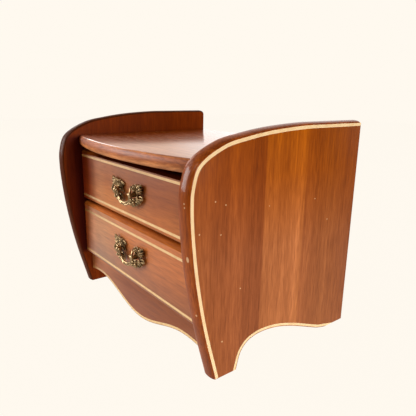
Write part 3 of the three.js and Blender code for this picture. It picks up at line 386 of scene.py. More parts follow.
def stringing(name, base, pale, shade_ramp=None):
    """Pale inlay of two twisted tones, the slanting joints a little darker, and painted shade from left to right
    where given.
    """
    material, tree, shader = new_material(
        name, base, 0.5, Coat_Weight=0.2, Coat_Roughness=0.3, Specular_IOR_Level=0.3)
    twist = add(tree, "ShaderNodeTexWave", bands_direction="DIAGONAL", Vector=object_coordinates(tree), Scale=520,
                Distortion=1.2)
    tone = ramp(tree, twist.outputs["Fac"], [(0.1, base), (0.6, pale)])
    soft = noise(tree, object_coordinates(tree, location=(2.0, 5.0, 1.0)), 160, 2, 0.5)
    colour = mix(tree, "MULTIPLY", 1.0, tone, ramp(tree, soft, [(0.3, (0.9, 0.85, 0.78)), (0.6, (1, 1, 1))]))
    if shade_ramp:
        colour = mix(tree, "MULTIPLY", 1.0, colour, ramp(tree, share_along(tree, "X"), shade_ramp))
    tree.links.new(colour, shader.inputs["Base Color"])
    return material


FINISH = {}
# Colour ramps: a place from 0 to 1 along the box, and what the colour is multiplied by there. BANDS are the panel's
# veneer bands; the ramps marked below hold painted shade, shadow, sheen and highlights.
BANDS = [(0.0, (0.93, 0.92, 0.9)), (0.2, (0.99, 0.96, 1.0)), (0.36, (0.84, 0.78, 0.8)), (0.379, (0.86, 0.8, 0.8)),
         (0.386, (1.3, 1.44, 1.6)), (0.6, (1.32, 1.46, 1.6)), (0.628, (1.2, 1.3, 1.3)), (0.636, (0.97, 0.97, 1.0)),
         (0.8, (0.9, 0.92, 0.9)), (1.0, (0.88, 0.86, 0.85))]
PANEL_HEIGHTS = [(0.1, (1.04, 1.42, 6.2)), (0.5, (1.06, 1.4, 6)), (0.8, (0.99, 0.99, 0.9)),
                 (1.0, (0.93, 0.88, 0.1))]
# Painted shade and sheen on the upper front: darker under the board's overhang, lighter and paler towards its foot.
UPPER_FRONT_SHADE_HEIGHTS = [(0.53, (1.5, 1.7, 1.9)), (0.61, (1.38, 1.55, 1.65)), (0.645, (1.12, 1.16, 1.18)),
                 (0.685, (1, 1, 1)), (0.8, (0.96, 0.96, 0.96))]
# The lower front darker towards its foot.
LOWER_HEIGHTS = [(0.2, (0.6, 0.62, 0.64)), (0.265, (0.73, 0.7, 0.7)), (0.33, (0.95, 0.95, 0.95)),
                 (0.4, (1.08, 1.08, 1.04)), (0.5, (1, 1, 1))]
# Painted light on the top board's edge, foot to top: painted shade on its underside, a paler painted sheen above it,
# and a painted highlight along the top arris.
NOSE_SHADE_AND_SHEEN = [(0.8185, (0.4, 0.3, 0.25)), (0.825, (1.05, 1.5, 3.4)), (0.835, (1.1, 1.5, 3.4)),
                (0.846, (0.8, 0.85, 1.3)), (0.856, (0.72, 0.68, 0.8)), (0.868, (0.8, 0.75, 1.0)),
                (0.876, (1.2, 1.5, 2.4))]
# Painted shade on the board's edge at its left end beside the far panel, and a painted sheen across its middle.
BOARD_EDGE_SHADE_AND_SHEEN = [(0.05, (0.4, 0.25, 0.15)), (0.1, (0.6, 0.45, 0.3)), (0.16, (0.9, 0.8, 0.7)), (0.3, (1.05, 1, 1)),
              (0.5, (1.3, 1.3, 1.4)), (1.0, (1.2, 1.2, 1.3))]
# Painted shade on the panels' inner faces, darkening from the front edge back beside the drawers; the second ramp
# keeps it off the foot and the part above the top board.
INNER_PAINTED_SHADE = [(0.0, (1.0, 1.1, 1.3)), (0.04, (0.6, 0.45, 0.4)), (0.095, (0.26, 0.1, 0.05)),
               (0.2, (0.22, 0.08, 0.05))]
INNER_UNSHADED = [(0.18, (1, 1, 1)), (0.21, (0, 0, 0)), (0.86, (0, 0, 0)), (0.885, (1, 1, 1))]
# Painted shadow of the far panel at the upper front's left end, then a paler painted reflection, and the front's own
# orange tone further right.
UPPER_SHADOW_AND_SHEEN = [(0.07, (0.45, 0.12, 0.0)), (0.138, (0.55, 0.25, 0.04)), (0.17, (0.6, 0.45, 0.3)),
              (0.202, (0.88, 0.81, 0.81)), (0.24, (0.95, 0.97, 0.98)), (0.3, (0.95, 0.85, 0.55)),
              (0.45, (0.9, 0.77, 0.4)), (0.68, (0.82, 0.59, 0.26)), (1.0, (0.86, 0.67, 0.32))]
# On the lower front: painted shadow at its left end, a pale painted reflection beside it, then its own tone.
LOWER_SHADOW_AND_SHEEN = [(0.06, (0.85, 0.45, 0.05)), (0.106, (0.76, 0.8, 1.1)), (0.153, (0.96, 1.27, 2.2)),
              (0.2, (0.83, 1.08, 1.6)), (0.24, (0.8, 0.97, 1.2)), (0.28, (0.82, 0.95, 0.95)),
              (0.33, (0.8, 0.82, 0.62)), (0.5, (0.88, 0.77, 0.46)), (1.0, (0.92, 0.76, 0.42))]
# A paler painted reflection over the apron's left part, its own tone to the right.
APRON_SHEEN = [(0.06, (1.1, 1.15, 1)), (0.2, (1.2, 1.19, 1)), (0.4, (0.86, 0.65, 0.32)), (0.6, (0.86, 0.68, 0.34)),
              (1.0, (0.92, 0.76, 0.4))]
# Painted shadow on the upper front's top edge, deepening from the left end to the right.
ARRIS_SHADOW_ENDS = [(0.056, (1, 1, 1)), (0.14, (1, 1, 1)), (0.24, (0.2, 0.12, 0.1))]
# Painted shade dimming the front strings towards their left ends.
STRING_LEFT_SHADE = [(0.08, (0.45, 0.3, 0.15)), (0.16, (0.72, 0.68, 0.7)), (0.32, (1, 1, 1)), (1.0, (1, 1, 1))]
# A pale painted sheen on the top board along its front edge.
TOP_FRONT_SHEEN = [(0.06, (1, 1.6, 16)), (0.2, (1, 1.4, 10)), (0.3, (1, 1, 1))]
# Bare specks in the near panel and its edge: x, y, z and radius, in millimetres.
PANEL_CHIPS = [(106.3, -61.7, 125.0, 0.5), (106.3, -53.4, 121.9, 0.45), (106.3, -73.6, 106.4, 0.5),
               (106.3, -56.8, 103.1, 0.45), (106.3, 33.1, 114.2, 0.5), (106.3, -14.8, 115.6, 0.4),
               (106.3, 49.9, 95.7, 0.5), (106.3, -38.7, 61.9, 0.5), (106.3, -53.6, 27.2, 0.55)]
NOSE_CHIPS = [(102.65, -79.72, 90.6, 1.1), (102.34, -82.15, 125.8, 0.5), (102.7, -82.1, 123.5, 0.5),
              (103.35, -73.2, 51.5, 0.7)]
FINISH["panel"] = wood("Panel veneer", (0.325, 0.067, 0.004), "z", contrast=0.9, bands=BANDS,
                       heights=PANEL_HEIGHTS, coat=0.1, specular=0.06, chips=PANEL_CHIPS)
FINISH["inner"] = wood("Inner panel veneer", (0.22, 0.031, 0.0005), "z", contrast=0.8, coat=0.0, roughness=0.5,
                       specular=0.05, bands=INNER_PAINTED_SHADE, unbanded=INNER_UNSHADED)
FINISH["edge"] = wood("Panel edge", (0.28, 0.052, 0.0022), "z", contrast=1.3, roughness=0.5, coat=0.26, pores=0.6,
                      coat_roughness=0.14, specular=0.05, chips=NOSE_CHIPS)
# The far panel's edge is the near edge's wood made much darker and duller: painted shade.
FINISH["shaded far edge"] = wood("Far panel edge in painted shade", (0.085, 0.014, 0.0005), "z", contrast=0.7, roughness=0.5, coat=0.05,
                          coat_roughness=0.2, specular=0.04)
FINISH["top"] = wood("Top board veneer", (0.36, 0.075, 0.004), "x", contrast=1.5, coat=1.0, coat_roughness=0.16,
                     bands=TOP_FRONT_SHEEN, specular=0.2)
FINISH["board edge"] = wood("Top board edge", (0.4, 0.1, 0.012), "x", contrast=1.8, roughness=0.5, coat=0.07,
                            coat_roughness=0.25, ends=BOARD_EDGE_SHADE_AND_SHEEN, heights=NOSE_SHADE_AND_SHEEN, specular=0.2)
FINISH["front"] = wood("Front veneer", (0.4, 0.125, 0.035), "x", contrast=0.7, roughness=0.5, coat=0.33,
                       coat_roughness=0.38, ends=UPPER_SHADOW_AND_SHEEN, heights=UPPER_FRONT_SHADE_HEIGHTS, specular=0.2)
FINISH["lower front"] = wood("Lower front veneer", (0.56, 0.17, 0.045), "x", contrast=0.8, roughness=0.5, coat=0.7,
                             coat_roughness=0.38, ends=LOWER_SHADOW_AND_SHEEN, heights=LOWER_HEIGHTS, specular=0.2)
FINISH["apron"] = wood("Apron veneer", (0.3, 0.085, 0.025), "x", contrast=0.6, roughness=0.5, coat=0.3,
                       coat_roughness=0.38, ends=APRON_SHEEN, specular=0.2)
# The upper front's rounded top edge painted dark and matte: painted shadow under the top board.
FINISH["arris"] = wood("Drawer front top edge in painted shadow", (0.15, 0.03, 0.003), "x", roughness=0.9, coat=0.0, specular=0.0,
                       ends=ARRIS_SHADOW_ENDS)
# The lower front's rounded top edge, a darker matte copy of its veneer: painted shade in the gap below the upper
# drawer.
FINISH["lower arris"] = wood("Lower front top edge in painted shade", (0.42, 0.1, 0.01), "x", roughness=0.7, coat=0.0, specular=0.08)
FINISH["string"] = stringing("Pale stringing", (0.88, 0.5, 0.2), (0.96, 0.76, 0.45))
FINISH["front string"] = stringing("Front stringing", (0.8, 0.43, 0.15), (0.9, 0.65, 0.33), STRING_LEFT_SHADE)
FINISH["drawer"] = wood("Drawer wood", (0.52, 0.33, 0.15), "y", roughness=0.6, coat=0.0, pores=0.25)
FINISH["plywood"] = wood("Thin plywood", (0.38, 0.22, 0.1), "x", roughness=0.75, coat=0.0, pores=0.35)


def velvet():
    material, tree, shader = new_material("Red velvet", (0.2, 0.012, 0.03), 0.95, Sheen_Weight=0.7,
                                          Sheen_Roughness=0.4, Specular_IOR_Level=0.1)
    shader.inputs["Sheen Tint"].default_value = (0.85, 0.25, 0.3, 1)
    soft = noise(tree, object_coordinates(tree), 90, 3, 0.6)
    colour = ramp(tree, soft, [(0.3, (0.13, 0.006, 0.018)), (0.7, (0.26, 0.02, 0.045))])
    tree.links.new(colour, shader.inputs["Base Color"])
    bump(tree, shader, noise(tree, object_coordinates(tree), 2600, 2, 0.5), 0.35, 0.3 * MM)
    return material


def metal(name, colour, roughness, recess=None, texture=900, strength=0.15):
    material, tree, shader = new_material(name, colour, roughness, Metallic=1.0)
    grain = noise(tree, object_coordinates(tree), texture, 3, 0.6)
    if recess:
        geometry = add(tree, "ShaderNodeNewGeometry")
        worn = ramp(tree, geometry.outputs["Pointiness"], [(0.45, recess), (0.56, colour)])
        dirt = ramp(tree, noise(tree, object_coordinates(tree), 350, 3, 0.6),
                    [(0.35, (0.45, 0.4, 0.34)), (0.6, (1, 1, 1))])
        tree.links.new(mix(tree, "MULTIPLY", 0.7, worn, dirt), shader.inputs["Base Color"])
    else:
        tint = ramp(tree, grain, [(0.3, tuple(c * 0.85 for c in colour)), (0.7, colour)])
        tree.links.new(tint, shader.inputs["Base Color"])
    bump(tree, shader, grain, strength, 0.2 * MM)
    return material


FINISH["velvet"] = velvet()
FINISH["antique"] = metal("Antique brass", (0.42, 0.28, 0.14), 0.34, recess=(0.03, 0.018, 0.008), texture=700,
                          strength=0.35)
FINISH["brass"] = metal("Machined brass", (0.72, 0.5, 0.2), 0.25)
FINISH["steel"] = metal("Ground steel", (0.58, 0.57, 0.55), 0.28)
FINISH["zinc"] = metal("Cast zinc", (0.42, 0.42, 0.43), 0.55, texture=1500, strength=0.4)


def nylon():
    material, tree, shader = new_material("Moulded nylon", (0.8, 0.76, 0.66), 0.45, Specular_IOR_Level=0.5)
    cloud = noise(tree, object_coordinates(tree), 500, 2, 0.5)
    colour = ramp(tree, cloud, [(0.3, (0.74, 0.7, 0.6)), (0.7, (0.84, 0.8, 0.71))])
    tree.links.new(colour, shader.inputs["Base Color"])
    return material


FINISH["nylon"] = nylon()

WALNUT = ("panel", "inner", "edge", "shaded far edge", "top", "board edge", "front", "lower front", "apron", "arris",
          "lower arris")
SLOT_OF = {**dict.fromkeys(WALNUT, "walnut"), "string": "stringing", "front string": "stringing",
           "drawer": "drawer_wood", "plywood": "plywood", "velvet": "velvet", "antique": "antique_brass",
           "brass": "brass", "steel": "steel", "zinc": "cast_zinc", "nylon": "nylon"}


def fitted(obj, body, replaces=()):
    """Puts a finished piece on its body and hides the nodes it stands for."""
    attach(obj, body)
    if replaces:
        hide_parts(*replaces)
    return obj


def piece(name, geometry, look, body, replaces=(), sharp=SHARP, others=()):
    """A piece of the object. Others are further looks, each with the faces that wear it."""
    verts, faces = geometry
    obj = drawn(name, verts, [], faces)
    obj.data.validate()
    shaded(obj.data, sharp)
    obj.data.materials.append(FINISH[look])
    for slot, (other, covered) in enumerate(others, 1):
        obj.data.materials.append(FINISH[other])
        for index in covered:
            obj.data.polygons[index].material_index = slot
    return fitted(obj, body, replaces)


# Geometry Nodes: strings swept along their paths, and slotted heads set on points.
CROWN = 1.8  # the dome is cut flat where its share of the radius, times this, passes 1
STRING_DEPTH, HEAD_HEIGHT, SLOT_SHARE = 1.0, 0.64, 0.2


def shape_tree(name, **inputs):
    """A tree with named inputs, and the sockets that give them."""
    tree = bpy.data.node_groups.new(name, "GeometryNodeTree")
    for label, kind in {"Geometry": "Geometry", **inputs, "Material": "Material"}.items():
        tree.interface.new_socket(label, in_out="INPUT", socket_type=f"NodeSocket{kind}")
    tree.interface.new_socket("Geometry", in_out="OUTPUT", socket_type="NodeSocketGeometry")
    return tree, add(tree, "NodeGroupInput").outputs


def end_tree(tree, geometry, given):
    real = add(tree, "GeometryNodeRealizeInstances", Geometry=geometry).outputs[0]
    dressed = add(tree, "GeometryNodeSetMaterial", Geometry=real, Material=given["Material"])
    add(tree, "NodeGroupOutput", Geometry=dressed.outputs[0])
    return tree


def vector_node(tree, **parts):
    return add(tree, "ShaderNodeCombineXYZ", **parts).outputs[0]


def string_tree():
    """A string of rectangular section along a path, its face square to the wall it is let into."""
    tree, given = shape_tree("Inlaid string", Width="Float", Depth="Float", Face="Vector")
    path = add(tree, "GeometryNodeMeshToCurve", Mesh=given["Geometry"])
    level = add(tree, "GeometryNodeSetCurveNormal", mode="FREE", Curve=path.outputs[0], Normal=given["Face"])
    section = add(tree, "GeometryNodeCurvePrimitiveQuadrilateral", Width=given["Depth"], Height=given["Width"])
    swept = add(tree, "GeometryNodeCurveToMesh", Curve=level.outputs[0], Profile_Curve=section.outputs[0],
                Fill_Caps=True)
    return end_tree(tree, swept.outputs[0], given)


def screw_tree():
    """Crowned heads with a cut slot, one on each point, standing along the axis and turned at random."""
    tree, given = shape_tree("Slotted heads", Radius="Float", Height="Float", Slot="Float", Axis="Vector",
                             Seed="Int")
    radius, height = given["Radius"], given["Height"]
    ball = add(tree, "GeometryNodeMeshUVSphere", Segments=24, Rings=14, Radius=radius)
    place = add(tree, "ShaderNodeSeparateXYZ", Vector=add(tree, "GeometryNodeInputPosition").outputs[0]).outputs
    share = math_node(tree, "DIVIDE", place["Z"], radius)
    crown = math_node(tree, "MULTIPLY", share, CROWN, clamp=True)
    shaped = vector_node(tree, X=place["X"], Y=place["Y"], Z=math_node(tree, "MULTIPLY", crown, height))
    head = add(tree, "GeometryNodeSetPosition", Geometry=ball.outputs["Mesh"], Position=shaped)
    across = math_node(tree, "MULTIPLY", radius, 3.0)
    blade = add(tree, "GeometryNodeMeshCube", Size=vector_node(tree, X=across, Y=given["Slot"], Z=height))
    raised = add(tree, "GeometryNodeTransform", Geometry=blade.outputs["Mesh"],
                 Translation=vector_node(tree, Z=height))
    cut = add(tree, "GeometryNodeMeshBoolean", operation="DIFFERENCE")
    for socket, part in zip(cut.inputs, (head, raised)):
        tree.links.new(part.outputs[0], socket)
    chance = add(tree, "FunctionNodeRandomValue", data_type="FLOAT", Seed=given["Seed"])
    chance.inputs[3].default_value = math.pi  # its largest value
    turn = add(tree, "FunctionNodeEulerToRotation", Euler=vector_node(tree, Z=chance.outputs[1]))
    stand = add(tree, "FunctionNodeAlignRotationToVector", axis="Z", Rotation=turn.outputs[0], Vector=given["Axis"])
    heads = add(tree, "GeometryNodeInstanceOnPoints", Points=given["Geometry"], Instance=cut.outputs[0],
                Rotation=stand.outputs[0])
    return end_tree(tree, heads.outputs[0], given)


STRING_TREE, SCREW_TREE = string_tree(), screw_tree()


def grown(name, points, edges, tree, look, body, replaces=(), **sizes):
    """A piece that a tree makes from points or from a path, given in millimetres."""
    obj = drawn(name, points, edges, [])
    modifier = obj.modifiers.new("Shape", "NODES")
    modifier.node_group = tree
    sizes["Material"] = FINISH[look]
    for item in tree.interface.items_tree:
        if item.in_out == "INPUT" and item.name in sizes:
            modifier[item.identifier] = sizes[item.name]
    made = bpy.data.meshes.new_from_object(obj.evaluated_get(bpy.context.evaluated_depsgraph_get()))
    obj.modifiers.clear()
    obj.data = made
    made.materials.clear()
    made.materials.append(FINISH[look])
    made.polygons.foreach_set("material_index", [0] * len(made.polygons))
    shaded(made)
    fitted(obj, body, replaces)


def string(name, path, width, face, look, body, replaces):
    """A pale string along the middle of its groove."""
    edges = [(i, i + 1) for i in range(len(path) - 1)]
    grown(name, path, edges, STRING_TREE, look, body, replaces, Width=width * MM, Depth=STRING_DEPTH * MM,
          Face=face)


def screws(name, heads, axis, radius, look="steel"):
    """Slotted heads at x, y, z that stand out along an axis."""
    grown(name, heads, [], SCREW_TREE, look, "case", Radius=radius * MM, Height=HEAD_HEIGHT * MM,
          Slot=radius * SLOT_SHARE * MM, Axis=axis, Seed=3)


# Side panels.
FRONT_SHARES = [(0.867, 0), (0.9307, 0.2332), (0.9672, 0.41), (0.9897, 0.5706), (1, 0.7194), (0.9951, 0.7926),
                (0.9623, 0.8765), (0.8407, 0.9453), (0.7149, 0.9712), (0.5799, 0.9882), (0.365, 1)]
ARCH_SHARES = [(0.04, 0.58), (0.095, 0.85), (0.176, 0.98), (0.276, 1), (0.407, 0.92), (0.57, 0.7), (0.75, 0.38),
               (0.9, 0.11)]
ARCH_FRONT, ARCH_REAR, ARCH_RISE = 122.5, 23.0, 21.6
BACK_CORNER = 2.6
SUNK = 0.03  # the board stands this far behind its strings' faces
OUTER_NOSE, INNER_NOSE = 1.8, 1.7
PANEL_STRING_IN, PANEL_STRING_WIDTH = 3.1, 2.3
PANEL_STRING_FOOT = (0.08, 0.31)  # moves the string's foot forward and up, clear of the floor
PANEL_STRING_END = 0.05  # the string's reach at the back
ARCH_STRING, ARCH_ARRIS = (0.55, 2.45), 0.02

front_edge = smooth_curve([(a * DEPTH, b * HEIGHT) for a, b in FRONT_SHARES] + [(BACK_CORNER, HEIGHT)], 14)
front_edge[:, 1] = np.minimum(front_edge[:, 1], HEIGHT)
front_in = shrink_directions(front_edge, (-1, 0), (0, -1))
arch_edge = smooth_curve(
    [(ARCH_REAR, 0)]
    + [(ARCH_FRONT - a * (ARCH_FRONT - ARCH_REAR), b * ARCH_RISE) for a, b in ARCH_SHARES][::-1]
    + [(ARCH_FRONT, 0)], 8)
arch_in = shrink_directions(arch_edge, (-1, 0), (1, 0))


def side_panel(name, side, edge_look):
    outer = side * (HALF_WIDTH - SUNK)
    corner = [(BACK_CORNER * (1 - math.sin(a)), HEIGHT - BACK_CORNER * (1 - math.cos(a))) for a in quarter(6)[1:]]
    edge = np.vstack([front_edge, corner])
    directions = np.vstack([front_in, [(0, -1)] * len(corner)])
    rest = np.vstack([[(0, 0)], arch_edge])
    geometry = nosed(edge, directions, rest, THICK - SUNK, OUTER_NOSE, INNER_NOSE,
                     lambda p, depth: (outer - side * depth, y_at(p[0]), p[1]))
    inner_face = [len(geometry[1]) - 1]
    piece(f"{name}_board", geometry, "panel", "case", [name],
          others=[(edge_look, nose_faces(edge, rest)), ("inner", inner_face)])
    middle = front_edge + front_in * PANEL_STRING_IN
    middle[0] += PANEL_STRING_FOOT
    path = [(side * (HALF_WIDTH - STRING_DEPTH / 2), y_at(reach), z)
            for reach, z in [*middle, (PANEL_STRING_END, middle[-1][1])]]
    string(f"{name}_edge_string", path, PANEL_STRING_WIDTH, (1, 0, 0), "string", "case", [f"{name}_string"])
    arch = prism(strip(arch_edge, arch_in, *ARCH_STRING), 0, STRING_DEPTH, ARCH_ARRIS,
                 lambda p, depth: (side * (HALF_WIDTH - depth), y_at(p[0]), p[1]), steps=1, both=False)
    piece(f"{name}_arch_stringing", arch, "string", "case", [f"{name}_arch_string"])


side_panel("side_panel_left", -1, "shaded far edge")
side_panel("side_panel_right", 1, "edge")


# Top board, with its front edge an arc in plan.
BOARD_TOP, BOARD_THICK, BOARD_END, BOARD_BOW, BOARD_NOSE = 149.0, 10.0, 147.2, 13.0, 3.0
BOARD_NOSE_STEPS = NOSE_STEPS - 2  # above these the nose wears the board's own veneer


def top_board():
    half = INNER - JOINT
    radius = (half**2 + BOARD_BOW**2) / (2 * BOARD_BOW)
    centre = BOARD_END + BOARD_BOW - radius
    sweep = math.asin(half / radius)
    edge = np.array([(radius * math.sin(a), -(centre + radius * math.cos(a)))
                     for a in np.linspace(-sweep, sweep, 65)])
    directions = shrink_directions(edge, (0, 1), (0, 1))
    rest = [(half, 0), (-half, 0)]
    geometry = nosed(edge, directions, rest, BOARD_THICK, BOARD_NOSE, BOARD_NOSE,
                     lambda p, depth: (p[0], y_at(-p[1]), BOARD_TOP - BOARD_THICK + depth))
    piece("top_board_bowed", geometry, "top", "case", ["top_board"],
          others=[("board edge", nose_faces(edge, rest, BOARD_NOSE_STEPS))])


top_board()


# Apron: a centre drop between two hollows, with its string along the lower edge.
APRON_TOP, APRON_LOW, APRON_DROP, APRON_LIFT, APRON_WAVE = 32.6, 16.0, 15.0, 2.3, 72.0
APRON_FACE, APRON_THICK, APRON_ARRIS = 140.5, 8.0, 0.35
APRON_STRING_IN, APRON_STRING_WIDTH, APRON_STRING_GAP = 1.5, 1.9, 0.25
FRONT_STRING_IN = 0.47  # from a front's face to the middle of its string


def apron_edge(x):
    across = abs(x)
    if across < APRON_WAVE:
        return APRON_LOW - APRON_DROP * (1 + math.cos(math.pi * across / APRON_WAVE)) / 2
    return APRON_LOW - APRON_LIFT * ((across - APRON_WAVE) / (INNER - APRON_WAVE)) ** 2


def apron():
    half = INNER - JOINT
    edge = np.array([(x, apron_edge(x)) for x in np.linspace(-half, half, 121)])
    directions = shrink_directions(edge, (0, 1), (0, 1))
    outline = np.vstack([edge, [(half, APRON_TOP), (-half, APRON_TOP)]])
    rail = prism(outline, 0, APRON_THICK, APRON_ARRIS, lambda p, depth: (p[0], y_at(APRON_FACE - depth), p[1]))
    piece("apron_rail", rail, "apron", "case", ["apron"])
    middle = edge + directions * APRON_STRING_IN
    middle[[0, -1], 0] *= (half - APRON_STRING_GAP) / half
    string("apron_edge_string", [(x, y_at(APRON_FACE - FRONT_STRING_IN), z) for x, z in middle],
           APRON_STRING_WIDTH, (0, 1, 0), "front string", "case", ["apron_string"])


apron()


# Drawer fronts, their length running from left to right.
FRONT_FACE, FRONT_BACK, FRONT_GAP, FRONT_ARRIS = 145.8, 133.8, 0.5, 0.9
FOOT_ROUND, HEAD_ROUND, FRONT_STRING_WIDTH = 2.3, 3.2, 2.0


def drawer_front(name, body, low, high, strings, look, top_shade_look):
    foot = [(FRONT_FACE - FOOT_ROUND * (1 - math.sin(a)), low + FOOT_ROUND * (1 - math.cos(a)))
            for a in quarter(6)]
    head = [(FRONT_FACE - HEAD_ROUND * (1 - math.cos(a)), high - HEAD_ROUND * (1 - math.sin(a)))
            for a in quarter(8)]
    outline = foot + head + [(FRONT_BACK, high), (FRONT_BACK, low)]
    half = INNER - FRONT_GAP
    geometry = prism(outline, -half, half, FRONT_ARRIS, lambda p, depth: (depth, y_at(p[0]), p[1]))
    sides = len(geometry[1]) - 2  # all faces but the two ends
    # The rounded top edge wears a darker look: painted shade.
    rounded_top = [i for i in range(sides) if len(foot) <= i % len(outline) < len(foot) + len(head)]
    piece(f"{name}_panel", geometry, look, body, [f"{name}_front"], others=[(top_shade_look, rounded_top)])
    for which, centre in zip(("low", "high"), strings):
        path = [(x, y_at(FRONT_FACE - FRONT_STRING_IN), centre) for x in (FRONT_ARRIS - half, half - FRONT_ARRIS)]
        string(f"{name}_{which}_stringing", path, FRONT_STRING_WIDTH, (0, 1, 0), "front string", body,
               [f"{name}_{which}_string"])


drawer_front("upper_drawer", "upper_drawer", 88.3, 135.6, (92.6, 130.3), "front", "arris")
drawer_front("lower_drawer", "lower_drawer", 33.3, 85.5, (37.0, 77.0), "lower front", "lower arris")


# Pulls: cast leaf plates with eyes, and a swinging bail with hanging leaves and a fluted bar.
EYE_REACH, EYE_SPREAD = 151.8, 13.0
LOBE_STEPS, LOBE_SIDES, BEAD_STEPS, BEAD_SIDES = 10, 12, 9, 14
LIFT_SPAN = 16.0  # a leaf sheet has its whole lift this far from its root
SHEET_LEVELS = ((0, 0.3), (0.2, 0), (0.5, 0), (0.8, 0.3), (1, 0.9))  # share of its depth, and inset


def lobe(side, root, tip, reach, width, thick=1.5):
    """One leaf lobe: a blade with a raised rib from root to tip in x and z, its reach given at both."""
    (x0, z0), (x1, z1) = root, tip
    length = math.hypot(x1 - x0, z1 - z0)
    nx, nz = -(z1 - z0) / length, (x1 - x0) / length
    rings = []
    for i in range(LOBE_STEPS + 1):
        t = i / LOBE_STEPS
        centre = reach[0] + (reach[1] - reach[0]) * t * t
        half = width / 2 * (0.5 + 0.5 * t) * math.sin(math.pi * min(0.3 + 0.7 * t, 0.992)) ** 0.5
        tall = thick * (0.5 + 0.5 * math.sin(math.pi * min(0.25 + 0.74 * t, 0.985)))
        rings.append(np.array([
            (side * (x0 + (x1 - x0) * t + nx * half * math.cos(a)),
             y_at(centre + tall * (0.5 * math.sin(a) + 0.45 * max(0.0, math.sin(a)) ** 3)),
             z0 + (z1 - z0) * t + nz * half * math.cos(a)) for a in turns(LOBE_SIDES)]))
    return loft(rings)


def leaf_sheet(side, keys, root, base, depth, lift):
    """The scalloped sheet under the lobes, which stands off the wall more and more from its root."""
    outline = smooth_curve([*keys, keys[0]], 4)[:-1]
    inward = closed_directions(outline)
    rings = []
    for rise, inset in SHEET_LEVELS:
        points = outline + inward * inset
        away = np.hypot(points[:, 0] - root[0], points[:, 1] - root[1])
        off = base + depth * rise + lift * np.minimum(1.0, away / LIFT_SPAN) ** 2
        rings.append(np.stack([side * points[:, 0], y_at(off), points[:, 1]], 1))
    return loft(rings)


def lumps(side, height, places, reach, depth):
    """Cast lumps at x, z and radius: balls, flattened or drawn out from front to back by depth."""
    made = []
    for x, z, radius in places:
        rings = []
        for latitude in np.linspace(-math.pi / 2, math.pi / 2, BEAD_STEPS):
            r = radius * max(math.cos(latitude), 0.02)
            y = y_at(reach + radius * depth * math.sin(latitude))
            rings.append(np.array([(side * (x + r * math.cos(a)), y, height + z + r * math.sin(a))
                                   for a in turns(BEAD_SIDES)]))
        made.append(loft(rings))
    return made


def stem(side, height):
    """The plate's scroll, from its leaves over the front of the eye."""
    keys = smooth_curve([(x, reach, height + z) for x, reach, z in STEM], 7)
    radii = np.interp(np.linspace(0, 1, len(keys)), np.linspace(0, 1, len(STEM_RADII)), STEM_RADII)
    return tube([(side * x, y_at(reach), z) for x, reach, z in keys], radii)


def on_pivot(side, height, profile, segments):
    """A turned part whose axis is the pivot's."""
    return lathe(profile, segments, lambda p, x: (side * x, y_at(EYE_REACH + p[0]), height + p[1]))


def lifted(points, height):
    return [(x, z + height) for x, z in points]


# Outlines, lobes and lumps of a pull's right half, about the pivot: x, z and, where given, width or radius.
PLATE_SHEET = [(7.4, -1.8), (9.2, 2.2), (6.2, 5.0), (8.6, 6.9), (11.6, 7.3), (12.6, 8.2), (15.2, 7.5), (17.8, 8.9),
               (19.6, 8.2), (23.2, 9.6), (24.0, 8.2), (22.6, 7.2), (24.3, 6.4), (22.8, 5.2), (24.0, 4.2), (22.4, 3.2),
               (23.2, 2.2), (20.4, 1.5), (16.0, 1.3), (15.4, -0.6), (11.0, -1.6)]
PLATE_LOBES = [((9.0, 2.4), (12.4, 7.9), 3.4), ((10.5, 2.6), (17.6, 8.6), 3.6), ((12.0, 2.2), (23.2, 9.3), 3.4),
               ((14.0, 2.2), (24.0, 6.4), 2.8), ((15.0, 1.8), (23.7, 4.1), 2.4), ((15.6, 1.6), (22.9, 2.3), 1.8)]
PLATE_LUMPS = [(10.9, 4.4, 1.1), (13.6, 5.6, 1.2), (18.4, 6.2, 1.2), (18.6, 3.6, 1.1), (20.9, 5.0, 0.8),
               (12.0, 2.6, 1.0), (9.6, 0.2, 0.9)]
BAIL_SHEET = [(7.2, -4.0), (10.4, -3.4), (14.4, -3.0), (16.6, -1.2), (19.4, 0.0), (22.4, 0.6), (24.6, -0.8),
              (24.2, -3.0), (22.4, -3.6), (21.8, -5.4), (19.4, -6.8), (18.0, -6.6), (17.0, -8.2), (14.6, -9.0),
              (13.0, -8.4), (11.8, -10.2), (9.0, -10.8), (7.2, -8.8)]
BAIL_LOBES = [((17.6, -1.6), (24.0, -2.4), 2.8), ((17.0, -2.2), (22.4, -4.9), 2.4), ((14.4, -3.4), (20.4, -6.4), 2.4),
              ((12.0, -4.4), (17.8, -7.8), 2.3), ((10.0, -5.0), (14.8, -8.8), 2.4), ((8.6, -5.2), (10.8, -10.4), 2.8)]
BAIL_LUMPS = [(16.0, -3.0, 1.3), (15.2, -6.0, 1.4), (11.6, -4.4, 1.3), (11.0, -7.4, 1.4), (20.8, -0.6, 1.0)]
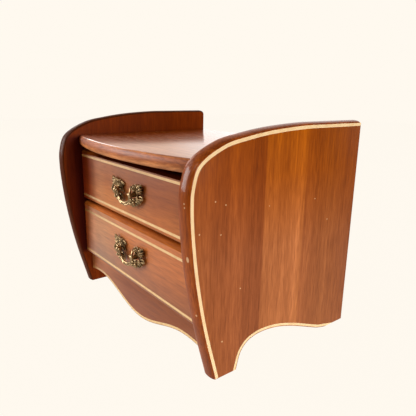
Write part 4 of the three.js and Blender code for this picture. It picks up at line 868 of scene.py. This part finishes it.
# The stem: x, reach and z, with its radii. The turned parts: radius, then reach or x.
STEM = [(11.2, 150.2, 6.4), (13.2, 151.6, 5.5), (14.3, 152.8, 3.4), (14.4, 153.2, 0.8), (13.8, 152.6, -1.3),
        (12.6, 151.2, -2.1)]
STEM_RADII = (0.5, 0.75, 0.85, 0.85, 0.75, 0.6)
STUD = [(0, 145.8), (2.1, 145.8), (2.1, 146.6), (2.0, 147.4), (1.9, 151.8), (0, 151.8)]
EYE = [(0, 11.3), (1.4, 11.3), (1.7, 11.7), (1.7, 13.8), (1.3, 14.2), (0, 14.2)]
PIN = [(0, 8.7), (1.0, 8.9), (1.3, 9.6), (1.1, 10.5), (0.8, 11.0), (0.8, 14.4), (0, 14.4)]
ARM = 9.55
BAR = [(ARM, EYE_REACH, 0), (ARM + 0.5, 151.2, -2.6), (ARM - 0.4, 151.0, -5.6), (ARM - 4.0, 151.3, -8.0)]
BAR_MIDDLE = (0, 151.6, -8.9)
FLUTE = 0.8  # radius of each of the bar's two rods, and half their spread


def pull_plate(name, side, height, body):
    parts = [leaf_sheet(side, lifted(PLATE_SHEET, height), (8.0, height), base=145.9, depth=1.7, lift=1.3)]
    parts += [lobe(side, *lifted(ends, height), (147.3, 148.6), width) for *ends, width in PLATE_LOBES]
    parts += lumps(side, height, PLATE_LUMPS, reach=148.6, depth=0.8)
    parts.append(stem(side, height))
    parts.append(lathe(STUD, 18, lambda p, reach: (side * EYE_SPREAD + p[0], y_at(reach), height + p[1])))
    parts.append(on_pivot(side, height, EYE, 18))
    piece(f"{name}_cast", joined(parts), "antique", body, [name])


def bail(name, height, body):
    parts = []
    for side in (-1, 1):
        root = (8.0, height - 4.4)
        parts.append(leaf_sheet(side, lifted(BAIL_SHEET, height), root, base=147.4, depth=1.5, lift=-0.4))
        parts += [lobe(side, *lifted(ends, height), (149.2, 148.2), width, 1.3) for *ends, width in BAIL_LOBES]
        parts += lumps(side, height, BAIL_LUMPS, reach=150.4, depth=1.1)
        parts.append(lobe(side, (8.4, height - 5.6), (0.6, height - 9.6), (150.6, 152.6), 2.6, 1.4))
    bar = [(-x, reach, z) for x, reach, z in BAR] + [BAR_MIDDLE] + BAR[::-1]
    keys = smooth_curve([(x, reach, height + z) for x, reach, z in bar], 6)
    spread = FLUTE * (0.35 + 0.65 * np.minimum(1, (height - keys[:, 2]) / 5))
    tangent = np.gradient(keys, axis=0)
    across = np.stack([-tangent[:, 2], np.zeros(len(keys)), tangent[:, 0]], 1)
    across *= (spread / np.linalg.norm(across, axis=1))[:, None]
    for way in (-1, 1):
        parts.append(tube([(x, y_at(reach), z) for x, reach, z in keys + way * across], FLUTE))
    parts += [on_pivot(side, height, PIN, 14) for side in (-1, 1)]
    piece(f"{name}_cast", joined(parts), "antique", body, [name])


for which, height in (("upper", 112.2), ("lower", 61.4)):
    pull_plate(f"{which}_pull_plate_left", -1, height, f"{which}_drawer")
    pull_plate(f"{which}_pull_plate_right", 1, height, f"{which}_drawer")
    bail(f"{which}_pull_bail", height, f"{which}_bail")


# Drawer linings: velvet trays on stiff card, with soft edges.
CARD, SOFT, PLUMP, FOOT_SOFT, TRAY_CORNER = 1.2, 0.5, 0.15, 0.3, 1.6


def node_corners(node):
    """The low and high corners of a node, in millimetres."""
    return [np.array(corner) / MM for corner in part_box(node)]


def lining(name, body, node):
    low, high = node_corners(node)
    levels = [(FOOT_SOFT, low[2]), (0, low[2] + FOOT_SOFT), (0, high[2] - SOFT), (PLUMP, high[2] - PLUMP),
              (CARD / 2, high[2]), (CARD - PLUMP, high[2] - PLUMP), (CARD, high[2] - SOFT),
              (CARD, low[2] + CARD + 1.4), (CARD + 0.5, low[2] + CARD + 0.4), (CARD + 1.6, low[2] + CARD)]
    rings = []
    for inset, z in levels:
        across, along = (low[0] + inset, high[0] - inset), (low[1] + inset, high[1] - inset)
        rings.append(np.array([(x, y, z) for x, y in rounded_rectangle(across, along, TRAY_CORNER)]))
    piece(name, loft(rings), "velvet", body, [node], sharp=60)


lining("upper_drawer_velvet", "upper_drawer", "upper_drawer_lining")
lining("lower_drawer_velvet", "lower_drawer", "lower_drawer_lining")


# Ring cushion: foam rolls side by side under tight cloth, drawn in at their ends.
ROLLS, ROLL_STEPS, LENGTH_STEPS = 7, 15, 40
END_REACH, END_SQUEEZE, SEAM_HEIGHT, CROWN_SPARE, LEAST_RISE = 4.5, 1.2, 2.2, 2.6, 0.8
WAVE_HEIGHT, WAVE_SPAN, BASE_INSET = 0.12, 9.0, 0.2


def ring_cushion():
    """Crowned rolls over one base, their tops a little uneven."""
    low, high = node_corners("ring_rolls")
    pitch = (high[1] - low[1]) / ROLLS
    waves = np.random.default_rng(5).uniform(-1, 1, (ROLLS, 4))
    xs = low[0] + (high[0] - low[0]) * (0.5 - 0.5 * np.cos(np.linspace(0, math.pi, LENGTH_STEPS)))
    columns = [(roll, k / (ROLL_STEPS - 1)) for roll in range(ROLLS)
               for k in range(ROLL_STEPS - (roll < ROLLS - 1))]
    verts, faces = [], []
    for x in xs:
        end = min(x - low[0], high[0] - x)
        full = 1 - max(0.0, 1 - end / END_REACH) ** 2
        for roll, t in columns:
            y = low[1] + pitch * (roll + t)
            crown = math.sqrt(max(0.0, 1 - (2 * t - 1) ** 2))
            wave = WAVE_HEIGHT * sum(w * math.sin((i + 1) * (x - low[0]) / WAVE_SPAN)
                                     for i, w in enumerate(waves[roll]))
            squeeze = (1 - full) * END_SQUEEZE
            inwards = squeeze * (0.5 - (y - low[1]) / (high[1] - low[1])) * 2
            rise = SEAM_HEIGHT + (high[2] - low[2] - CROWN_SPARE) * crown * (0.35 + 0.65 * full) + wave * crown
            verts.append((x, y + inwards, low[2] + max(LEAST_RISE, rise)))
    rows, top = len(columns), len(verts)
    for i in range(LENGTH_STEPS - 1):
        for j in range(rows - 1):
            a = i * rows + j
            faces.append((a, a + rows, a + rows + 1, a + 1))
    for x in xs:
        verts += [(x, low[1] + BASE_INSET, low[2]), (x, high[1] - BASE_INSET, low[2])]
    for i in range(LENGTH_STEPS - 1):
        a, b = top + 2 * i, top + 2 * i + 2
        faces.append((i * rows, a, b, (i + 1) * rows))
        faces.append((i * rows + rows - 1, (i + 1) * rows + rows - 1, b + 1, a + 1))
        faces.append((a, a + 1, b + 1, b))
    faces.append((*range(rows), top + 1, top))
    last, base = (LENGTH_STEPS - 1) * rows, top + 2 * LENGTH_STEPS
    faces.append((*range(last + rows - 1, last - 1, -1), base - 2, base - 1))
    verts = np.array(verts)
    obj = piece("ring_roll_cushion", (verts, outwards(verts, faces)), "velvet", "upper_drawer", ["ring_rolls"],
                sharp=75)


ring_cushion()


# Partition: velvet on card, across the upper drawer.
PARTITION_ROUND = 1.0


def partition():
    low, high = node_corners("upper_drawer_partition")
    outline = rounded_rectangle((low[0], high[0]), (low[1], high[1]), PARTITION_ROUND)
    card = prism(outline, low[2], high[2], PARTITION_ROUND, lambda p, depth: (p[0], p[1], depth),
                 steps=CORNER_STEPS)
    piece("velvet_partition", card, "velvet", "upper_drawer", ["upper_drawer_partition"], sharp=60)


partition()

# Small fasteners: slotted heads on the back panel, under the floor and on the comb.
BACK, FLOOR_LOW, COMB_TOP = 80.75, 26.6, 52.04
screws("back_panel_screws", [(x, BACK, z) for x in (-87, 0, 87) for z in (33.5, 131.5)]
       + [(x, BACK, 82.5) for x in (-87, 87)], (0, 1, 0), 2.2, "brass")
screws("movement_screws", [(x, y, FLOOR_LOW) for x, y in ((-19.0, 38.0), (25.0, 38.0), (25.0, 68.0))],
       (0, 0, -1), 2.4)
screws("comb_screws", [(x, 34.6, COMB_TOP) for x in (1.2, 12.4)], (0, 0, 1), 1.3)

# CAD nodes that are shown as they are, the wooden ones with their arrises taken off.
SHOWN = {
    "drawer": [f"{which}_drawer_{part}" for which in ("upper", "lower")
               for part in ("side_left", "side_right", "back")],
    "plywood": ["case_floor", "drawer_divider", "back_panel", "upper_drawer_bottom", "lower_drawer_bottom"],
    "brass": [f"{which}_pull_nut_{side}" for which in ("upper", "lower") for side in ("left", "right")]
    + ["spring_housing", "winding_arbor", "pinned_cylinder", "cylinder_arbor"],
    "steel": ["mainspring", "comb", "stop_post", "stop_lever", "winding_key"],
    "zinc": ["bedplate", "crown_bridge", "train_plate_left", "train_plate_right", "fly_frame"],
    "nylon": ["train_arbor", "governor_fly"],
}
BEVELLED = ("drawer", "plywood")
ARRIS = 0.4
for look, names in SHOWN.items():
    for node in names:
        obj = NODES[node]
        obj.data.materials.clear()
        obj.data.materials.append(FINISH[look])
        if look in BEVELLED:
            bevel = obj.modifiers.new("Arris", "BEVEL")
            bevel.width = ARRIS * MM
            bevel.segments = 2
            bevel.limit_method = "ANGLE"
            bevel.angle_limit = math.radians(40)


# Stage: floor, light and camera.
PAPER = (1.0, 0.947, 0.863)
MIRRORED = 0.2  # share of the paper that gloss and metal see
GLOW_DIRECTION = (-0.504, 0.858, 0.1)
WORLD_BACK = [(0.6, (0, 0, 0)), (0.77, (1.25, 0.8, 0.6)), (0.88, (1.4, 1.0, 0.76)), (0.915, (1.8, 1.62, 1.52)),
              (0.94, (1.85, 1.7, 1.65)), (0.97, (2.1, 2.1, 2.1))]
FLOOR_SIZE, FLOOR_SHADOW, FLOOR_LIFT, FLOOR_NEAR, FLOOR_FAR, FLOOR_GLOW = 6, 0.01, 0.9, 0.35, 0.6, 0.9
LIGHT_TARGET = (0, 0, 0.08)
LIGHTS = [  # name, place, width, power
    ("left key", (-1.449, -1.216, 0.552), 0.9, 30),
    ("left high", (-1.52, -0.808, 0.995), 0.9, 5),
    ("left rim", (-1.806, 0.095, 0.81), 0.6, 5),
    ("front", (0.0, -1.253, 1.574), 0.9, 9),
    ("right side", (1.928, 0.101, 0.351), 0.7, 28),
]


def ray_split(tree, output, seen, unseen):
    """What the camera sees, also through glass, and gloss and metal see in part, and what lights the rest."""
    path = add(tree, "ShaderNodeLightPath").outputs
    direct = math_node(tree, "ADD", path["Is Camera Ray"], path["Is Transmission Ray"], clamp=True)
    share = math_node(tree, "MULTIPLY_ADD", path["Is Glossy Ray"], MIRRORED, direct)
    chosen = add(tree, "ShaderNodeMixShader", Fac=share)
    for socket, shader in zip(chosen.inputs[1:], (unseen, seen)):
        tree.links.new(shader.outputs[0], socket)
    tree.links.new(chosen.outputs[0], output.inputs["Surface"])


def paper(strength):
    return tuple(c * strength for c in PAPER)


def studio():
    """The world: paper for the camera, and a glow behind the box."""
    world = bpy.data.worlds.new("Studio")
    bpy.context.scene.world = world
    world.use_nodes = True
    tree = world.node_tree
    around = tree.nodes["Background"]
    direction = add(tree, "ShaderNodeTexCoord").outputs["Generated"]
    backwards = add(tree, "ShaderNodeVectorMath", operation="DOT_PRODUCT", Vector=direction)
    backwards.inputs[1].default_value = GLOW_DIRECTION
    tree.links.new(ramp(tree, backwards.outputs["Value"], WORLD_BACK), around.inputs["Color"])
    seen = add(tree, "ShaderNodeBackground", Color=(*PAPER, 1))
    ray_split(tree, tree.nodes["World Output"], seen, around)


def floor():
    """A pale floor that takes a faint shadow, and glows softly round the box."""
    bpy.ops.mesh.primitive_plane_add(size=FLOOR_SIZE, location=(0, 0, 0))
    plane = bpy.context.object
    plane.name = "floor"
    material = bpy.data.materials.new("Pale floor")
    material.use_nodes = True
    tree = material.node_tree
    tree.nodes.remove(tree.nodes["Principled BSDF"])
    dull = add(tree, "ShaderNodeBsdfDiffuse", Color=(*paper(FLOOR_SHADOW), 1))
    white = add(tree, "ShaderNodeEmission", Color=(*paper(1 - FLOOR_SHADOW * FLOOR_LIFT), 1))
    seen = add(tree, "ShaderNodeAddShader")
    for socket, shader in zip(seen.inputs, (dull, white)):
        tree.links.new(shader.outputs[0], socket)
    centre = add(tree, "ShaderNodeVectorMath", operation="LENGTH", Vector=object_coordinates(tree))
    near = ramp(tree, centre.outputs["Value"], [(FLOOR_NEAR, paper(FLOOR_GLOW)), (FLOOR_FAR, (0, 0, 0))])
    ray_split(tree, tree.nodes["Material Output"], seen, add(tree, "ShaderNodeEmission", Color=near))
    plane.data.materials.append(material)


def area_light(name, location, width, power):
    data = bpy.data.lights.new(name, "AREA")
    data.shape = "RECTANGLE"
    data.size = data.size_y = width
    data.energy = power
    obj = placed(name, data)
    obj.location = location
    obj.rotation_euler = (Vector(LIGHT_TARGET) - Vector(location)).to_track_quat("-Z", "Y").to_euler()


# The camera: its angles in degrees, its place in millimetres, its focal length and middle in picture points.
PICTURE, SENSOR = 416, 36
CAMERA_TURN, CAMERA_HEIGHT, CAMERA_ROLL = (math.radians(a) for a in (52.078, 14.703, 0.851))
CAMERA_PLACE, CAMERA_FOCUS, CAMERA_MIDDLE = (302.16, -221.70, 187.71), 432.077, (205.84, 207.62)


def camera():
    flat = math.cos(CAMERA_HEIGHT)
    back = Vector((math.sin(CAMERA_TURN) * flat, -math.cos(CAMERA_TURN) * flat, math.sin(CAMERA_HEIGHT)))
    level = Vector((math.cos(CAMERA_TURN), math.sin(CAMERA_TURN), 0))
    right = level * math.cos(CAMERA_ROLL) + back.cross(level) * math.sin(CAMERA_ROLL)
    data = bpy.data.cameras.new("Camera")
    data.sensor_width = SENSOR
    data.lens = CAMERA_FOCUS / PICTURE * SENSOR
    data.shift_x = (PICTURE / 2 - CAMERA_MIDDLE[0]) / PICTURE
    data.shift_y = (CAMERA_MIDDLE[1] - PICTURE / 2) / PICTURE
    data.clip_start, data.clip_end = 0.01, 50
    obj = placed("Camera", data)
    matrix = Matrix((right, back.cross(right), back)).transposed().to_4x4()
    matrix.translation = Vector(CAMERA_PLACE) * MM
    obj.matrix_world = matrix
    bpy.context.scene.camera = obj


studio()
floor()
for light in LIGHTS:
    area_light(*light)
camera()
bpy.context.scene.view_settings.view_transform = "Standard"
